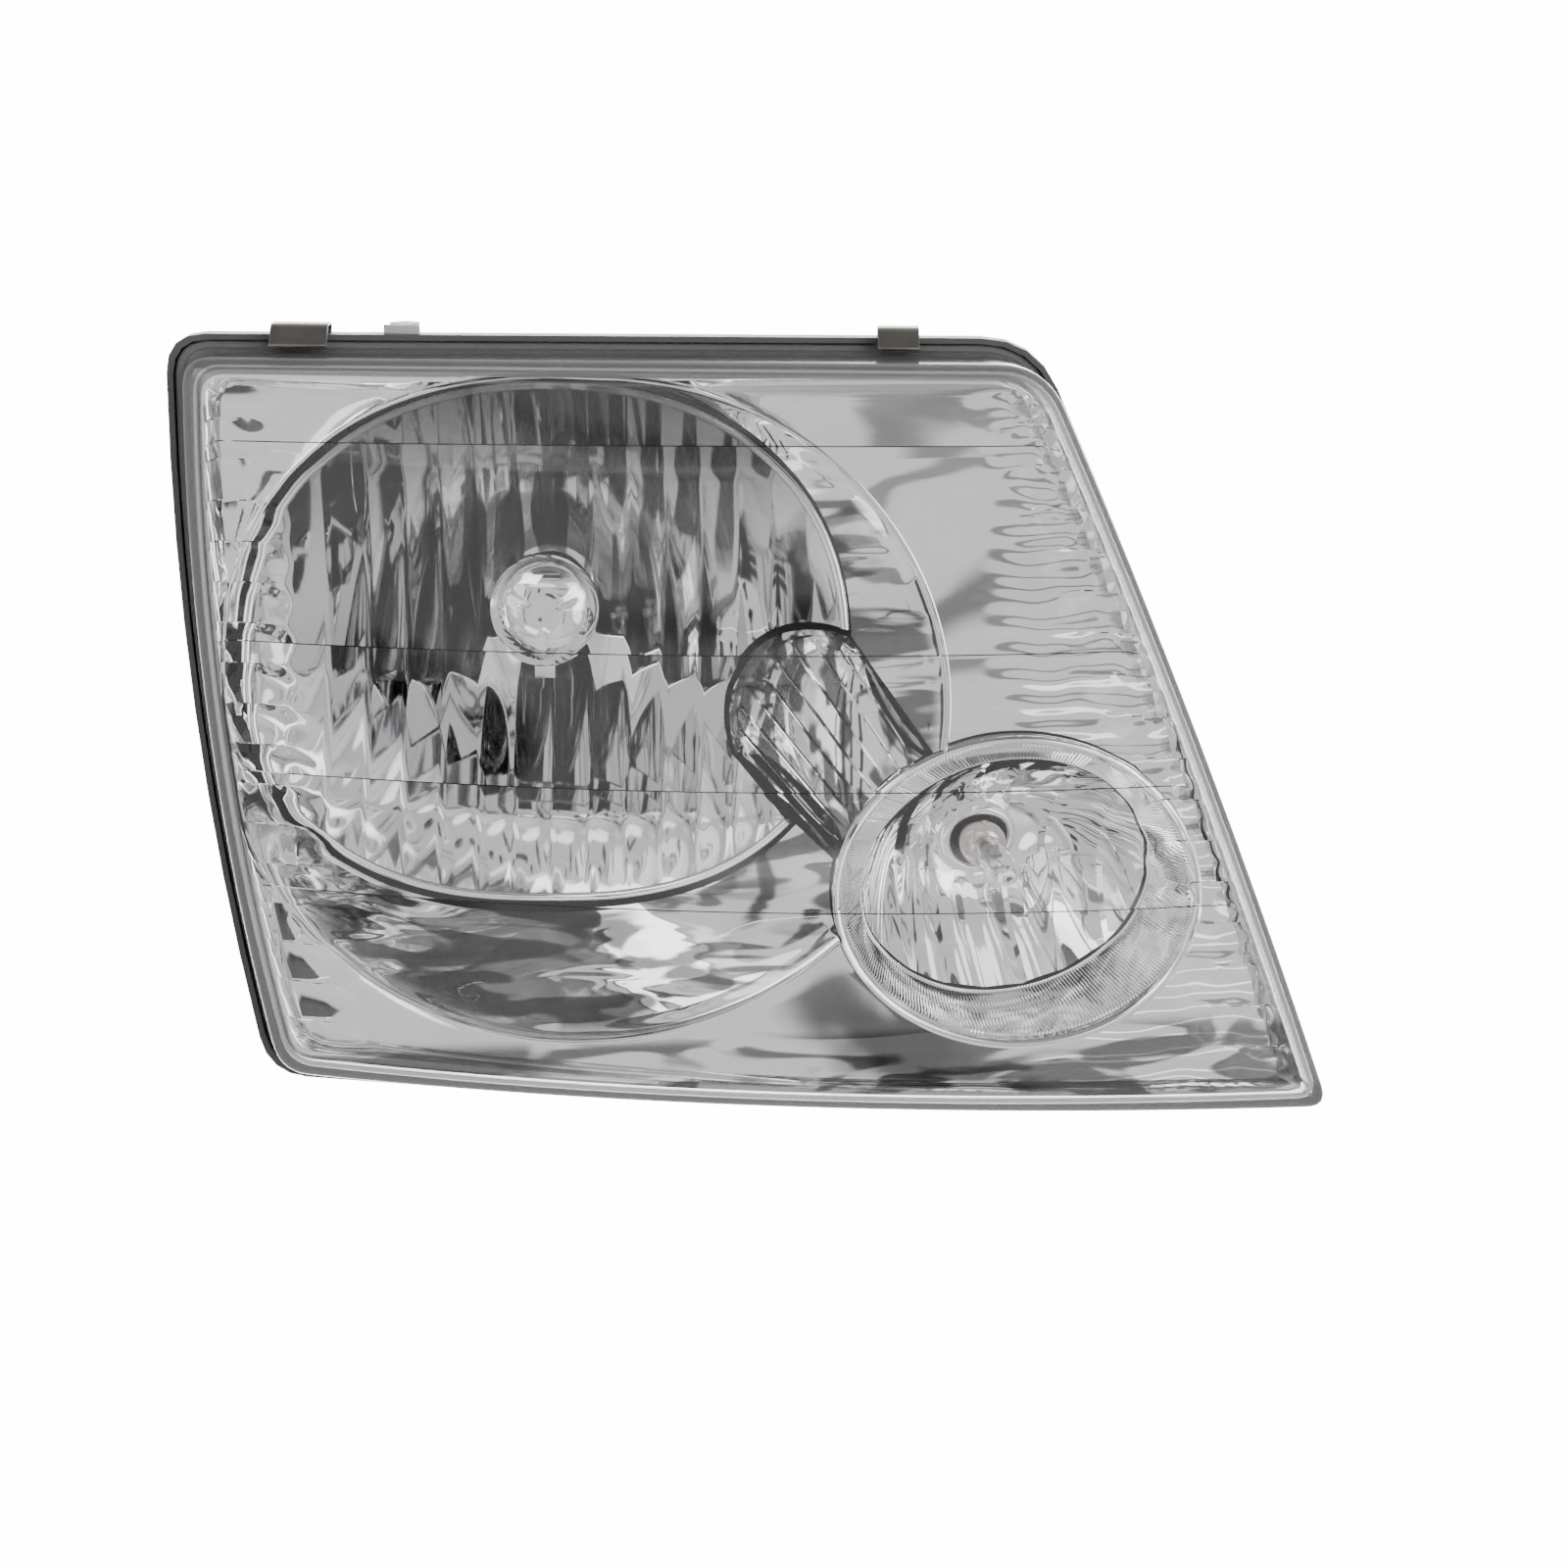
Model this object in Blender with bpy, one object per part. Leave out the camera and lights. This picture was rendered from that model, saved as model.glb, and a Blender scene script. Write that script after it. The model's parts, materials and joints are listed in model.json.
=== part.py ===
"""Composite car headlight assembly, left-hand drive side lamp seen from the front.

Lengths are millimetres in the lamp's design frame: X outboard, Y rearward, Z up.
world() turns them into metres in the row frame, whose origin is on the inner mounting pad.
"""
import bmesh
import bpy
from math import atan2, cos, hypot, pi, sin, sqrt, tau
from mathutils import Vector

MM = 0.001
GAP = 0.3

# Outline of the lens: corners (x, z), the sideways bulge of the side that follows each corner, and radii
CORNERS = ((-176.6, 123.5), (-147.0, -98.0), (187.5, -122.0), (94.5, 117.0))
BULGES = (7.0, 5.6, 3.0, 0.0)
CORNER_RADII = (9.0, 9.0, 7.0, 15.0)
FLANGE_TUCK = (0.4, 1.5, 5.5, 0.0)
BEZEL_TUCK = (0.0, 0.0, 1.6, 0.0)
NO_TUCK = (0.0, 0.0, 0.0, 0.0)
SIDE_STEPS = 8
BEZEL_STEPS = 11
CORNER_STEPS = 4

# Joint plane between lens and housing, and the lens's height above it
FLANGE_SLOPE_X = 0.21
FLANGE_SLOPE_Z = 0.14
LENS_THICKNESS = 3.0
LENS_FLANGE_OUT = 3.6
LENS_FLANGE_FRONT = -1.2
LENS_FLANGE_REAR = 1.6

# Main reflector: paraboloid about the bulb axis, with a rounded rectangular rim
BULB_X = -66.0
BULB_Z = 39.7
VERTEX_Y = 42.0
FOCAL_LENGTH = 36.0
RIM_CENTRE = (-65.0, 29.1)
RIM_HALF = (94.5, 80.5)
RIM_POWER = 2.3
REFLECTOR_WALL = 2.4
NECK_RADIUS = 22.0
NECK_BORE = 17.0
NECK_END = 90.0
BULB_HOLE = 13.0

# Bezel: opening round the reflector, and the raised oval ring round it
OPENING_HALF = (97.0, 84.3)
OVAL_CENTRE = (-50.5, 11.5)
OVAL_HALF = (113.0, 102.5)
BEZEL_CENTRE = (-58.0, 12.0)

# Bezel depths behind the lens's face: oval ring, its crest, the sunk plate, the raised edge, and their wall
RING_DEPTH = 9.0
CREST_DEPTH = 8.0
RING_FOOT_DEPTH = 12.0
PLATE_DEPTH = 12.6
EDGE_DEPTH = 8.0
EDGE_REAR_DEPTH = 16.6
PLATE_REAR_DEPTH = 14.8

# Signal unit: its axis points forward, outboard and down
SIGNAL_AXIS = Vector((0.2672, -0.9308, -0.2494)).normalized()
SIGNAL_COLLAR = Vector((73.1, 23.8, -37.8))
SHROUD_LIP = (61.0, 48.0)
SHROUD_DRUM = (57.0, 45.0)
SHROUD_WALL = 2.0
LIP_CLEARANCE = 9.0
DRUM_REAR = 5.0
SKIRT_FRONT = (8.0, 62.0)
SKIRT_REAR = (-21.0, 105.0)
SKIRT_CENTRE = (23.4, 4.3)
SKIRT_RADIUS = 30.0
SKIRT_WALL = 1.7
SKIRT_SETBACK = 6.5
SKIRT_OVERLAP = 0.8
SKIRT_REAR_LIFT = 1.5
SKIRT_CROWN = 6.0
SKIRT_DROP = 14.0
SKIRT_SLANT = 1.2
SKIRT_GAP_TO_BEZEL = 0.8
SKIRT_CLEARANCE = 2.2
SIGNAL_BOWL = (48.0, 40.5)
BOWL_DEPTH = 33.0
COLLAR_RADIUS = 13.0
COLLAR_HOLE = 9.5
WELL_OUTER = 28.5
WELL_INNER = 26.0
WELL_REAR = 47.0

# Rear wall of the housing
REAR_Y = 72.0
REAR_SLOPE = -0.16
REAR_CENTRE = (-10.0, 8.0)
REAR_SCALE = (0.86, 0.80)
WALL = 2.5
COLLAR_OUTER = 47.0
COLLAR_INNER = 43.5
COLLAR_END = 95.0

# Aiming gear: two ball pivots above, one threaded stem below
PIVOT_Y = 22.0
PIVOT_Z = 78.0
PIVOTS = {"inner": -135.0, "outer": 5.0}
BALL_RADIUS = 4.5
SOCKET_FRONT = 8.0
STUD_RADIUS = 4.0
STEM_X = -118.0
STEM_Z = -30.0
STEM_RADIUS = 3.5
STEM_END = 114.0
PAD_FACE = 95.0
CASE_REAR = 121.0
COVER_REAR = 123.4
GEAR_APEX = 110.8
GEAR_RADIUS = 9.0
GEAR_TEETH = 10
SHAFT_RADIUS = 3.0
SHAFT_END = 152.0
SCREW_RADIUS = 1.3

# Mounting pads on the rear wall: (x, z, y of the face), and their half width
MOUNT_PADS = {"inner": (-136.0, 30.0, 101.0), "lower": (-15.0, -58.0, 90.0), "outer": (92.0, 70.0, 72.0)}
PAD_HALF = 11.0
PAD_PILOT = 1.9
PAD_PILOT_DEPTH = 12.0
MOUNT_POINT_OFFSET = 7.0
ROW_ORIGIN = Vector((
    MOUNT_PADS["inner"][0] + MOUNT_POINT_OFFSET,
    MOUNT_PADS["inner"][2],
    MOUNT_PADS["inner"][1],
))

# Breathers on the rear wall (x, z), clips on the top flange (from x, to x), and the tab between the clips
VENTS = {"upper": (58.0, 84.0), "lower": (60.0, -80.0)}
VENT_OUTER = 5.0
VENT_BORE = 2.5
CLIPS = {"inner": (-150.6, -132.8), "outer": (41.0, 54.4)}
CLIP_SECTION = ((2.0, 9.0), (7.8, 9.0), (8.6, 7.8), (8.6, -2.6), (7.4, -4.6), (2.6, -10.6), (3.4, -12.0))
CLIP_STOCK = 0.7
TAB = (-116.2, -105.0)
TAB_FOOT = 126.8
TAB_TOP = 130.5

UP = Vector((0, 0, 1))
BACK = Vector((0, 1, 0))


def world(point):
    """Row-frame metres from design millimetres."""
    return (Vector(point) - ROW_ORIGIN) * MM


# ---------------------------------------------------------------- materials

def material(name, color, metallic, roughness, alpha=1.0):
    """A Principled material made once and shared by name."""
    found = bpy.data.materials.get(name)
    if found:
        return found
    made = bpy.data.materials.new(name)
    made.use_nodes = True
    shader = made.node_tree.nodes["Principled BSDF"]
    shader.inputs["Base Color"].default_value = (*color, 1.0)
    shader.inputs["Metallic"].default_value = metallic
    shader.inputs["Roughness"].default_value = roughness
    shader.inputs["Alpha"].default_value = alpha
    return made


def chrome():
    return material("aluminised_plastic", (0.86, 0.86, 0.87), 1.0, 0.06)


def clear():
    return material("clear_polycarbonate", (0.96, 0.96, 0.97), 0.0, 0.04, 0.3)


def black_plastic():
    return material("black_plastic", (0.05, 0.05, 0.055), 0.0, 0.5)


def grey_plastic():
    return material("grey_plastic", (0.30, 0.31, 0.32), 0.0, 0.5)


def white_plastic():
    return material("natural_nylon", (0.82, 0.80, 0.74), 0.0, 0.4)


def steel():
    return material("spring_steel", (0.62, 0.60, 0.57), 1.0, 0.3)


def rubber():
    return material("black_rubber", (0.03, 0.03, 0.03), 0.0, 0.75)


def brass():
    return material("brass", (0.78, 0.62, 0.32), 1.0, 0.3)


def glass():
    return material("bulb_glass", (0.97, 0.97, 0.98), 0.0, 0.02, 0.25)


# ---------------------------------------------------------------- mesh tools

def add_object(name, points, faces, finish, pivot=(0, 0, 0)):
    """Makes one closed mesh object whose origin is at pivot."""
    base = world(pivot)
    mesh = bpy.data.meshes.new(name)
    mesh.from_pydata([world(p) - base for p in points], [], faces)
    shape = bmesh.new()
    shape.from_mesh(mesh)
    bmesh.ops.recalc_face_normals(shape, faces=shape.faces)
    bmesh.ops.triangulate(shape, faces=[f for f in shape.faces if len(f.verts) > 4])
    shape.to_mesh(mesh)
    shape.free()
    mesh.materials.append(finish)
    mesh.shade_smooth()
    mesh.set_sharp_from_angle(angle=0.6)
    made = bpy.data.objects.new(name, mesh)
    made.location = base
    bpy.context.scene.collection.objects.link(made)
    return made


def loft(rings, closed=False):
    """Points and faces that join equal rings; the ends are capped unless the last ring meets the first."""
    count = len(rings[0])
    points = [p for ring in rings for p in ring]
    faces = []
    for i in range(len(rings) if closed else len(rings) - 1):
        a = i * count
        b = (i + 1) % len(rings) * count
        for k in range(count):
            n = (k + 1) % count
            faces.append((a + k, a + n, b + n, b + k))
    if not closed:
        faces.append(tuple(range(count)))
        faces.append(tuple(range((len(rings) - 1) * count, len(rings) * count)))
    return points, faces


def across(axis):
    """Two unit vectors at right angles to an axis, the first of them level."""
    level = axis.cross(UP)
    if level.length < 0.01:
        level = Vector((1, 0, 0))
    level.normalize()
    return level, level.cross(axis).normalized()


def turned(profile, centre, axis, steps=24, closed=True):
    """A solid turned round an axis from (radius, distance along the axis) points."""
    first, second = across(axis)
    rings = []
    for radius, along in profile:
        ring = []
        for k in range(steps):
            angle = tau * k / steps
            ring.append(Vector(centre) + axis * along + (first * cos(angle) + second * sin(angle)) * radius)
        rings.append(ring)
    return loft(rings, closed)


def box(low, high):
    """Points and faces of an upright block."""
    (x0, y0, z0), (x1, y1, z1) = low, high
    rings = [[(x, y, z) for x, z in ((x0, z0), (x1, z0), (x1, z1), (x0, z1))] for y in (y0, y1)]
    return loft(rings)


def bar(start, end, width, thickness, side):
    """A flat bar between two points; side gives the direction of its width."""
    along = (Vector(end) - Vector(start)).normalized()
    side = (side - along * side.dot(along)).normalized()
    face = along.cross(side)
    corners = ((-1, -1), (1, -1), (1, 1), (-1, 1))
    rings = [
        [Vector(p) + side * (a * width / 2) + face * (b * thickness / 2) for a, b in corners]
        for p in (start, end)
    ]
    return loft(rings)


def combine(target, shape, operation):
    """Joins a shape to a target or cuts it out, and leaves the result as the target's mesh."""
    tool = add_object("tool", *shape, target.data.materials[0])
    step = target.modifiers.new("combine", "BOOLEAN")
    step.operation = operation
    step.object = tool
    bpy.context.view_layer.update()
    result = bpy.data.meshes.new_from_object(target.evaluated_get(bpy.context.evaluated_depsgraph_get()))
    target.modifiers.clear()
    target.data = result
    bpy.data.objects.remove(tool)


def join(target, shape):
    combine(target, shape, "UNION")


def cut(target, shape):
    combine(target, shape, "DIFFERENCE")


# ---------------------------------------------------------------- driving surfaces

def flange_y(x, z):
    """Depth of the plane where lens and housing meet."""
    return FLANGE_SLOPE_X * x + FLANGE_SLOPE_Z * z


def lens_height(x, z):
    """How far the lens's face stands in front of the joint plane."""
    u = (x + 185.0) / 370.0
    w = z / 125.0
    return 20.0 + 18.0 * u + 14.0 * (1.0 - (2.0 * u - 1.0) ** 2) * (1.0 - w * w)


def face_y(x, z):
    """Depth of the lens's outer face."""
    return flange_y(x, z) - lens_height(x, z)


def rear_y(x):
    return REAR_Y + REAR_SLOPE * x


def bowl_y(x, z):
    """Depth of the main reflector's front surface."""
    r = hypot(x - BULB_X, z - BULB_Z)
    return VERTEX_Y - r * r / (4.0 * FOCAL_LENGTH)


def outline(grow, steps=SIDE_STEPS, tuck=NO_TUCK):
    """The lamp's outline as (x, z) points, moved outward by grow, less each side's tuck."""
    count = len(CORNERS)
    normals = []
    for i in range(count):
        d = Vector(CORNERS[(i + 1) % count]) - Vector(CORNERS[i])
        normals.append(Vector((d.y, -d.x)).normalized())
    moves = [grow - t for t in tuck]
    grown = []
    for i in range(count):
        a, b = normals[i - 1], normals[i]
        slant = a.dot(b)
        shift = a * (moves[i - 1] - moves[i] * slant) + b * (moves[i] - moves[i - 1] * slant)
        grown.append(Vector(CORNERS[i]) + shift / (1.0 - slant * slant))

    def side(i, t):
        start, end = grown[i], grown[(i + 1) % count]
        return start.lerp(end, t) + normals[i] * (BULGES[i] * 4.0 * t * (1.0 - t))

    def trim(i, corner):
        reach = max(CORNER_RADII[corner] + 0.5 * grow, 3.0)
        return reach / (grown[(i + 1) % count] - grown[i]).length

    points = []
    for i in range(count):
        following = (i + 1) % count
        t0, t1 = trim(i, i), 1.0 - trim(i, following)
        for k in range(steps):
            points.append(side(i, t0 + (t1 - t0) * k / steps))
        a = side(i, t1)
        c = side(following, trim(following, following))
        for k in range(CORNER_STEPS):
            t = k / CORNER_STEPS
            points.append(a.lerp(grown[following], t).lerp(grown[following].lerp(c, t), t))
    return points


def outline_ring(grow, depth):
    """The outline at a grow, as 3-D points at the depth that depth(x, z) gives."""
    return [(p.x, depth(p.x, p.y), p.y) for p in outline(grow)]


def flange_ring(grow, offset):
    """The flange's outline at an offset behind the joint plane; the lens overhangs it on three sides."""
    return [(p.x, flange_y(p.x, p.y) + offset, p.y) for p in outline(grow, tuck=FLANGE_TUCK)]


def scaled_ring(grow, scale, depth):
    """The outline shrunk towards the middle of the face."""
    return [(p.x * scale, depth(p.x * scale, p.y * scale), p.y * scale) for p in outline(grow)]


def oval_radius(centre, half, power, start, direction):
    """Distance from start along direction to a superellipse round centre."""
    low, high = 0.0, 300.0
    for _ in range(40):
        mid = (low + high) / 2
        x = abs(start[0] + direction[0] * mid - centre[0]) / half[0]
        z = abs(start[1] + direction[1] * mid - centre[1]) / half[1]
        if x ** power + z ** power < 1.0:
            low = mid
        else:
            high = mid
    return low


def signal_point(angle, half, along):
    """A point on an oval round the signal axis."""
    level, steep = across(SIGNAL_AXIS)
    return (
        SIGNAL_COLLAR + SIGNAL_AXIS * along + level * (half[0] * cos(angle)) + steep * (half[1] * sin(angle))
    )


def lip_reach(angle, half, clearance):
    """Distance along the signal axis at which an oval comes within clearance of the lens's outer face."""
    along = 50.0
    for _ in range(12):
        p = signal_point(angle, half, along)
        along += p.y - face_y(p.x, p.z) - clearance
    return along


# ---------------------------------------------------------------- body and lens

def lens():
    """Stepped clear lens: face, rounded edge, side wall and foot."""
    wall = LENS_THICKNESS
    rings = [scaled_ring(-6.0, s, face_y) for s in (0.04, 0.35, 0.65, 0.88, 1.0)]
    rings += [
        outline_ring(-1.6, lambda x, z: face_y(x, z) + 1.4),
        outline_ring(0.0, lambda x, z: face_y(x, z) + 5.5),
        flange_ring(1.5, LENS_FLANGE_FRONT),
        flange_ring(LENS_FLANGE_OUT, LENS_FLANGE_FRONT),
        flange_ring(LENS_FLANGE_OUT, LENS_FLANGE_REAR),
        flange_ring(-1.2, LENS_FLANGE_REAR),
        outline_ring(-3.0, lambda x, z: face_y(x, z) + 6.5),
        outline_ring(-6.5, lambda x, z: face_y(x, z) + wall),
    ]
    rings += [scaled_ring(-6.5, s, lambda x, z: face_y(x, z) + wall) for s in (0.88, 0.65, 0.35, 0.04)]
    add_object("lens", *loft(rings), clear())


def lens_seal():
    """Sealant bead in the housing's channel."""
    rings = [
        flange_ring(-1.8, 1.9),
        flange_ring(3.8, 1.9),
        flange_ring(3.8, 4.2),
        flange_ring(-1.8, 4.2),
    ]
    add_object("lens_seal", *loft(rings, closed=True), rubber())


def rear_ring(grow, inset, offset):
    """The outline drawn in towards the rear wall."""
    points = []
    for p in outline(grow, tuck=FLANGE_TUCK):
        x = REAR_CENTRE[0] + (p.x - REAR_CENTRE[0]) * REAR_SCALE[0] * inset
        z = REAR_CENTRE[1] + (p.y - REAR_CENTRE[1]) * REAR_SCALE[1] * inset
        points.append((x, rear_y(x) + offset, z))
    return points


def housing():
    """Moulded rear housing with its lens channel, openings, bosses and pads."""
    rings = [
        rear_ring(-1.8, 0.03, 0.0),
        rear_ring(-1.8, 0.93, 0.0),
        rear_ring(-1.8, 1.0, -7.0),
        flange_ring(-1.8, 7.5),
        flange_ring(6.0, 7.5),
        flange_ring(6.0, -2.5),
        flange_ring(4.2, -2.5),
        flange_ring(4.2, 4.5),
        flange_ring(-2.2, 4.5),
        flange_ring(-2.2, -2.5),
        flange_ring(-4.2, -2.5),
        flange_ring(-4.2, 8.0),
        rear_ring(-4.2, 1.0, -8.0),
        rear_ring(-4.2, 0.92, -WALL),
        rear_ring(-4.2, 0.03, -WALL),
    ]
    body = add_object("housing", *loft(rings), black_plastic())

    axis = (BULB_X, 0.0, BULB_Z)
    join(body, turned(((COLLAR_OUTER, 74.0), (COLLAR_OUTER, COLLAR_END)), axis, BACK, 24, closed=False))
    cut(body, turned(((COLLAR_INNER, 60.0), (COLLAR_INNER, 110.0)), axis, BACK, 27, closed=False))

    rearward = -SIGNAL_AXIS
    well = ((WELL_OUTER, 17.5), (WELL_OUTER, WELL_REAR))
    join(body, turned(well, SIGNAL_COLLAR, rearward, 20, closed=False))
    cut(body, turned(((WELL_INNER, 20.0), (WELL_INNER, 70.0)), SIGNAL_COLLAR, rearward, 20, closed=False))
    cut(body, turned(((12.5, 10.0), (12.5, 25.0)), SIGNAL_COLLAR, rearward, 14, closed=False))

    for x in PIVOTS.values():
        centre = (x, 0.0, PIVOT_Z)
        join(body, turned(((7.5, 48.0), (10.0, rear_y(x) - 1.0)), centre, BACK, 11, closed=False))
        bore = STUD_RADIUS + GAP
        cut(body, turned(((bore, 40.0), (bore, rear_y(x) - 6.0)), centre, BACK, 9, closed=False))

    join(body, box((STEM_X - 20, 86.0, STEM_Z - 20), (STEM_X + 20, PAD_FACE, STEM_Z + 22)))
    cut(body, turned(((5.0, 70.0), (5.0, 99.0)), (STEM_X, 0.0, STEM_Z), BACK, 10, closed=False))
    screw_hole = SCREW_RADIUS + GAP
    for x, z in case_screws():
        cut(body, turned(((screw_hole, 84.0), (screw_hole, 99.0)), (x, 0.0, z), BACK, 8, closed=False))

    guide = (STEM_X, GEAR_APEX, 0.0)
    guide_bore = SHAFT_RADIUS + GAP
    join(body, box((STEM_X - 7, 84.0, 84.0), (STEM_X + 7, GEAR_APEX + 7, 90.0)))
    cut(body, turned(((guide_bore, 80.0), (guide_bore, 95.0)), guide, UP, 12, closed=False))

    for x, z, y in MOUNT_PADS.values():
        join(body, box((x - PAD_HALF, rear_y(x) - 4.0, z - PAD_HALF), (x + PAD_HALF, y, z + PAD_HALF)))
        pilot = ((PAD_PILOT, y - PAD_PILOT_DEPTH), (PAD_PILOT, y + 5.0))
        cut(body, turned(pilot, (x, 0.0, z), BACK, 8, closed=False))

    for x, z in VENTS.values():
        y = rear_y(x)
        stub = ((VENT_OUTER, y - 4.0), (VENT_OUTER, y + 8.0))
        join(body, turned(stub, (x, 0.0, z), BACK, 12, closed=False))
        cut(body, turned(((VENT_BORE, y - 8.0), (VENT_BORE, y + 12.0)), (x, 0.0, z), BACK, 8, closed=False))

    tab_y = flange_y((TAB[0] + TAB[1]) / 2, 127.0)
    join(body, box((TAB[0], tab_y + 2.5, TAB_FOOT), (TAB[1], tab_y + 5.5, TAB_TOP)))


def vent_caps():
    """Rubber breather caps pushed over the vent stubs."""
    bore = VENT_OUTER + GAP
    profile = ((8.0, 0.0), (8.0, 8.5), (3.0, 9.5), (3.0, 6.5), (bore, 6.5), (bore, 0.0))
    for name, (x, z) in VENTS.items():
        y = rear_y(x) + 3.5
        add_object("vent_cap_" + name, *turned(profile, (x, y, z), BACK, 14), rubber())


def lens_clips():
    """Sprung steel clips that hold the lens's foot down on the housing's top flange."""
    top_start, top_end = Vector(CORNERS[3]), Vector(CORNERS[0])
    slope = (top_end.y - top_start.y) / (top_end.x - top_start.x)
    for name, ends in CLIPS.items():
        rings = []
        for x in ends:
            z = top_start.y + slope * (x - top_start.x)
            y = flange_y(x, z)
            outer = [(x, y + d, z + g) for g, d in CLIP_SECTION]
            inner = []
            for i, (g, d) in enumerate(CLIP_SECTION):
                before = Vector(CLIP_SECTION[max(i - 1, 0)])
                after = Vector(CLIP_SECTION[min(i + 1, len(CLIP_SECTION) - 1)])
                t = (after - before).normalized()
                inner.append((x, y + d + CLIP_STOCK * t.x, z + g - CLIP_STOCK * t.y))
            rings.append(outer + inner[::-1])
        add_object("lens_clip_" + name, *loft(rings), steel())


# ---------------------------------------------------------------- bezel and signal unit

def bezel():
    """Metallised bezel: cone round the reflector, raised oval ring, plate and rim."""
    edge = outline(-3.6, BEZEL_STEPS, BEZEL_TUCK)
    plate = outline(-10.0, BEZEL_STEPS)
    step = outline(-7.0, BEZEL_STEPS)
    centre = Vector(BEZEL_CENTRE)
    sections = []
    for k in range(len(edge)):
        offset = edge[k] - centre
        direction = offset.normalized()
        reach = offset.length
        opening = oval_radius(RIM_CENTRE, OPENING_HALF, RIM_POWER, centre, direction)
        oval = oval_radius(OVAL_CENTRE, OVAL_HALF, 2.0, centre, direction)
        oval = min(max(oval, opening + 1.2), reach - 2.4)
        plate_reach = min(max((plate[k] - centre).length, oval + 1.6), reach - 0.8)
        step_reach = min(max((step[k] - centre).length, oval + 2.0), reach - 0.4)

        def point(radius, depth):
            p = centre + direction * radius
            return (p.x, depth(p.x, p.y), p.y)

        def ahead(amount):
            """Depth that stays amount behind the lens's outer face."""
            return lambda x, z: face_y(x, z) + amount

        mouth = point(opening, lambda x, z: bowl_y(x, z) + 4.0)
        sections.append([
            mouth,
            point(oval, ahead(RING_DEPTH)),
            point(oval + 0.5, ahead(CREST_DEPTH)),
            point(oval + 1.1, ahead(RING_DEPTH)),
            point(oval + 1.3, ahead(RING_FOOT_DEPTH)),
            point(plate_reach, ahead(PLATE_DEPTH)),
            point(step_reach, ahead(EDGE_DEPTH)),
            point(reach, ahead(EDGE_DEPTH)),
            point(reach, ahead(EDGE_REAR_DEPTH)),
            point(max(step_reach, reach - 1.4) - 0.4, ahead(EDGE_REAR_DEPTH)),
            point(max(plate_reach, oval + 1.7), ahead(PLATE_REAR_DEPTH)),
            point(oval + 1.4, ahead(PLATE_REAR_DEPTH)),
            point(opening + 1.5, lambda x, z: mouth[1] + 1.8),
        ])
    rings = [[section[i] for section in sections] for i in range(len(sections[0]))]
    plate_object = add_object("bezel", *loft(rings, closed=True), chrome())
    cut(plate_object, signal_cylinder((SHROUD_LIP[0] + GAP, SHROUD_LIP[1] + GAP), -60.0, 90.0))
    cut(plate_object, skirt_prism(SKIRT_GAP_TO_BEZEL))


def signal_cylinder(half, start, end, steps=40):
    """A long oval cylinder round the signal axis, used as a cutter."""
    rings = [[signal_point(tau * k / steps, half, t) for k in range(steps)] for t in (start, end)]
    return loft(rings)


def skirt_angles(share):
    """Where the skirt's line at a share of its width starts at the lip and ends on its rear arc."""
    front = SKIRT_FRONT[0] + (SKIRT_FRONT[1] - SKIRT_FRONT[0]) * share
    rear = SKIRT_REAR[0] + (SKIRT_REAR[1] - SKIRT_REAR[0]) * share
    return front * pi / 180, rear * pi / 180


def skirt_rear(angle, radius):
    """A point (x, z) on the arc where the skirt ends over the main reflector."""
    return Vector((SKIRT_CENTRE[0] - radius * cos(angle), SKIRT_CENTRE[1] + radius * sin(angle)))


def skirt_point(width, run, inset=0.0):
    """A point of the skirt: width from -1 to 1 across it, run from 0 at the lip to 1 at the reflector."""
    front_angle, rear_angle = skirt_angles((width + 1) / 2)
    along = lip_reach(front_angle, SHROUD_LIP, LIP_CLEARANCE) - SKIRT_SETBACK - inset
    front = signal_point(front_angle, [half - SKIRT_OVERLAP for half in SHROUD_DRUM], along)
    x, z = skirt_rear(rear_angle, SKIRT_RADIUS - inset)
    rear = Vector((x, bowl_y(x, z) + SKIRT_REAR_LIFT, z))
    crest = sqrt(1.0 - width * width)
    swell = 4.0 * run * (1.0 - run) * (SKIRT_DROP * (1.0 - crest) - SKIRT_CROWN * crest)
    return front.lerp(rear, run) + BACK * (swell + SKIRT_SLANT * inset)


def signal_skirt():
    """Convex plate from the signal lamp's lip up to the main reflector."""
    columns, rows = 10, 5
    reach = 0.985
    rings = []
    for i in range(columns + 1):
        width = -reach * cos(pi * i / columns)
        outer = [skirt_point(width, k / rows) for k in range(rows + 1)]
        inner = [skirt_point(width, k / rows, SKIRT_WALL) for k in range(rows + 1)]
        rings.append(outer + inner[::-1])
    return loft(rings)


def skirt_prism(grow):
    """A prism along Y round the skirt's outline, used as a cutter."""
    rear_steps, front_steps = 12, 4
    inside_drum = [half - 3.0 for half in SHROUD_DRUM]
    path = [skirt_rear(skirt_angles(k / rear_steps)[1], SKIRT_RADIUS) for k in range(rear_steps + 1)]
    for k in range(front_steps + 1):
        p = signal_point(skirt_angles(1.0 - k / front_steps)[0], inside_drum, 50.0)
        path.append(Vector((p.x, p.z)))
    grown = []
    for k, p in enumerate(path):
        a = (p - path[k - 1]).normalized()
        b = (path[(k + 1) % len(path)] - p).normalized()
        normal = Vector((-(a.y + b.y), a.x + b.x)).normalized()
        grown.append(p + normal * grow / max(abs(normal.dot(Vector((-a.y, a.x)))), 0.6))
    return loft([[(p.x, y, p.y) for p in grown] for y in (-120.0, 60.0)])


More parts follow.
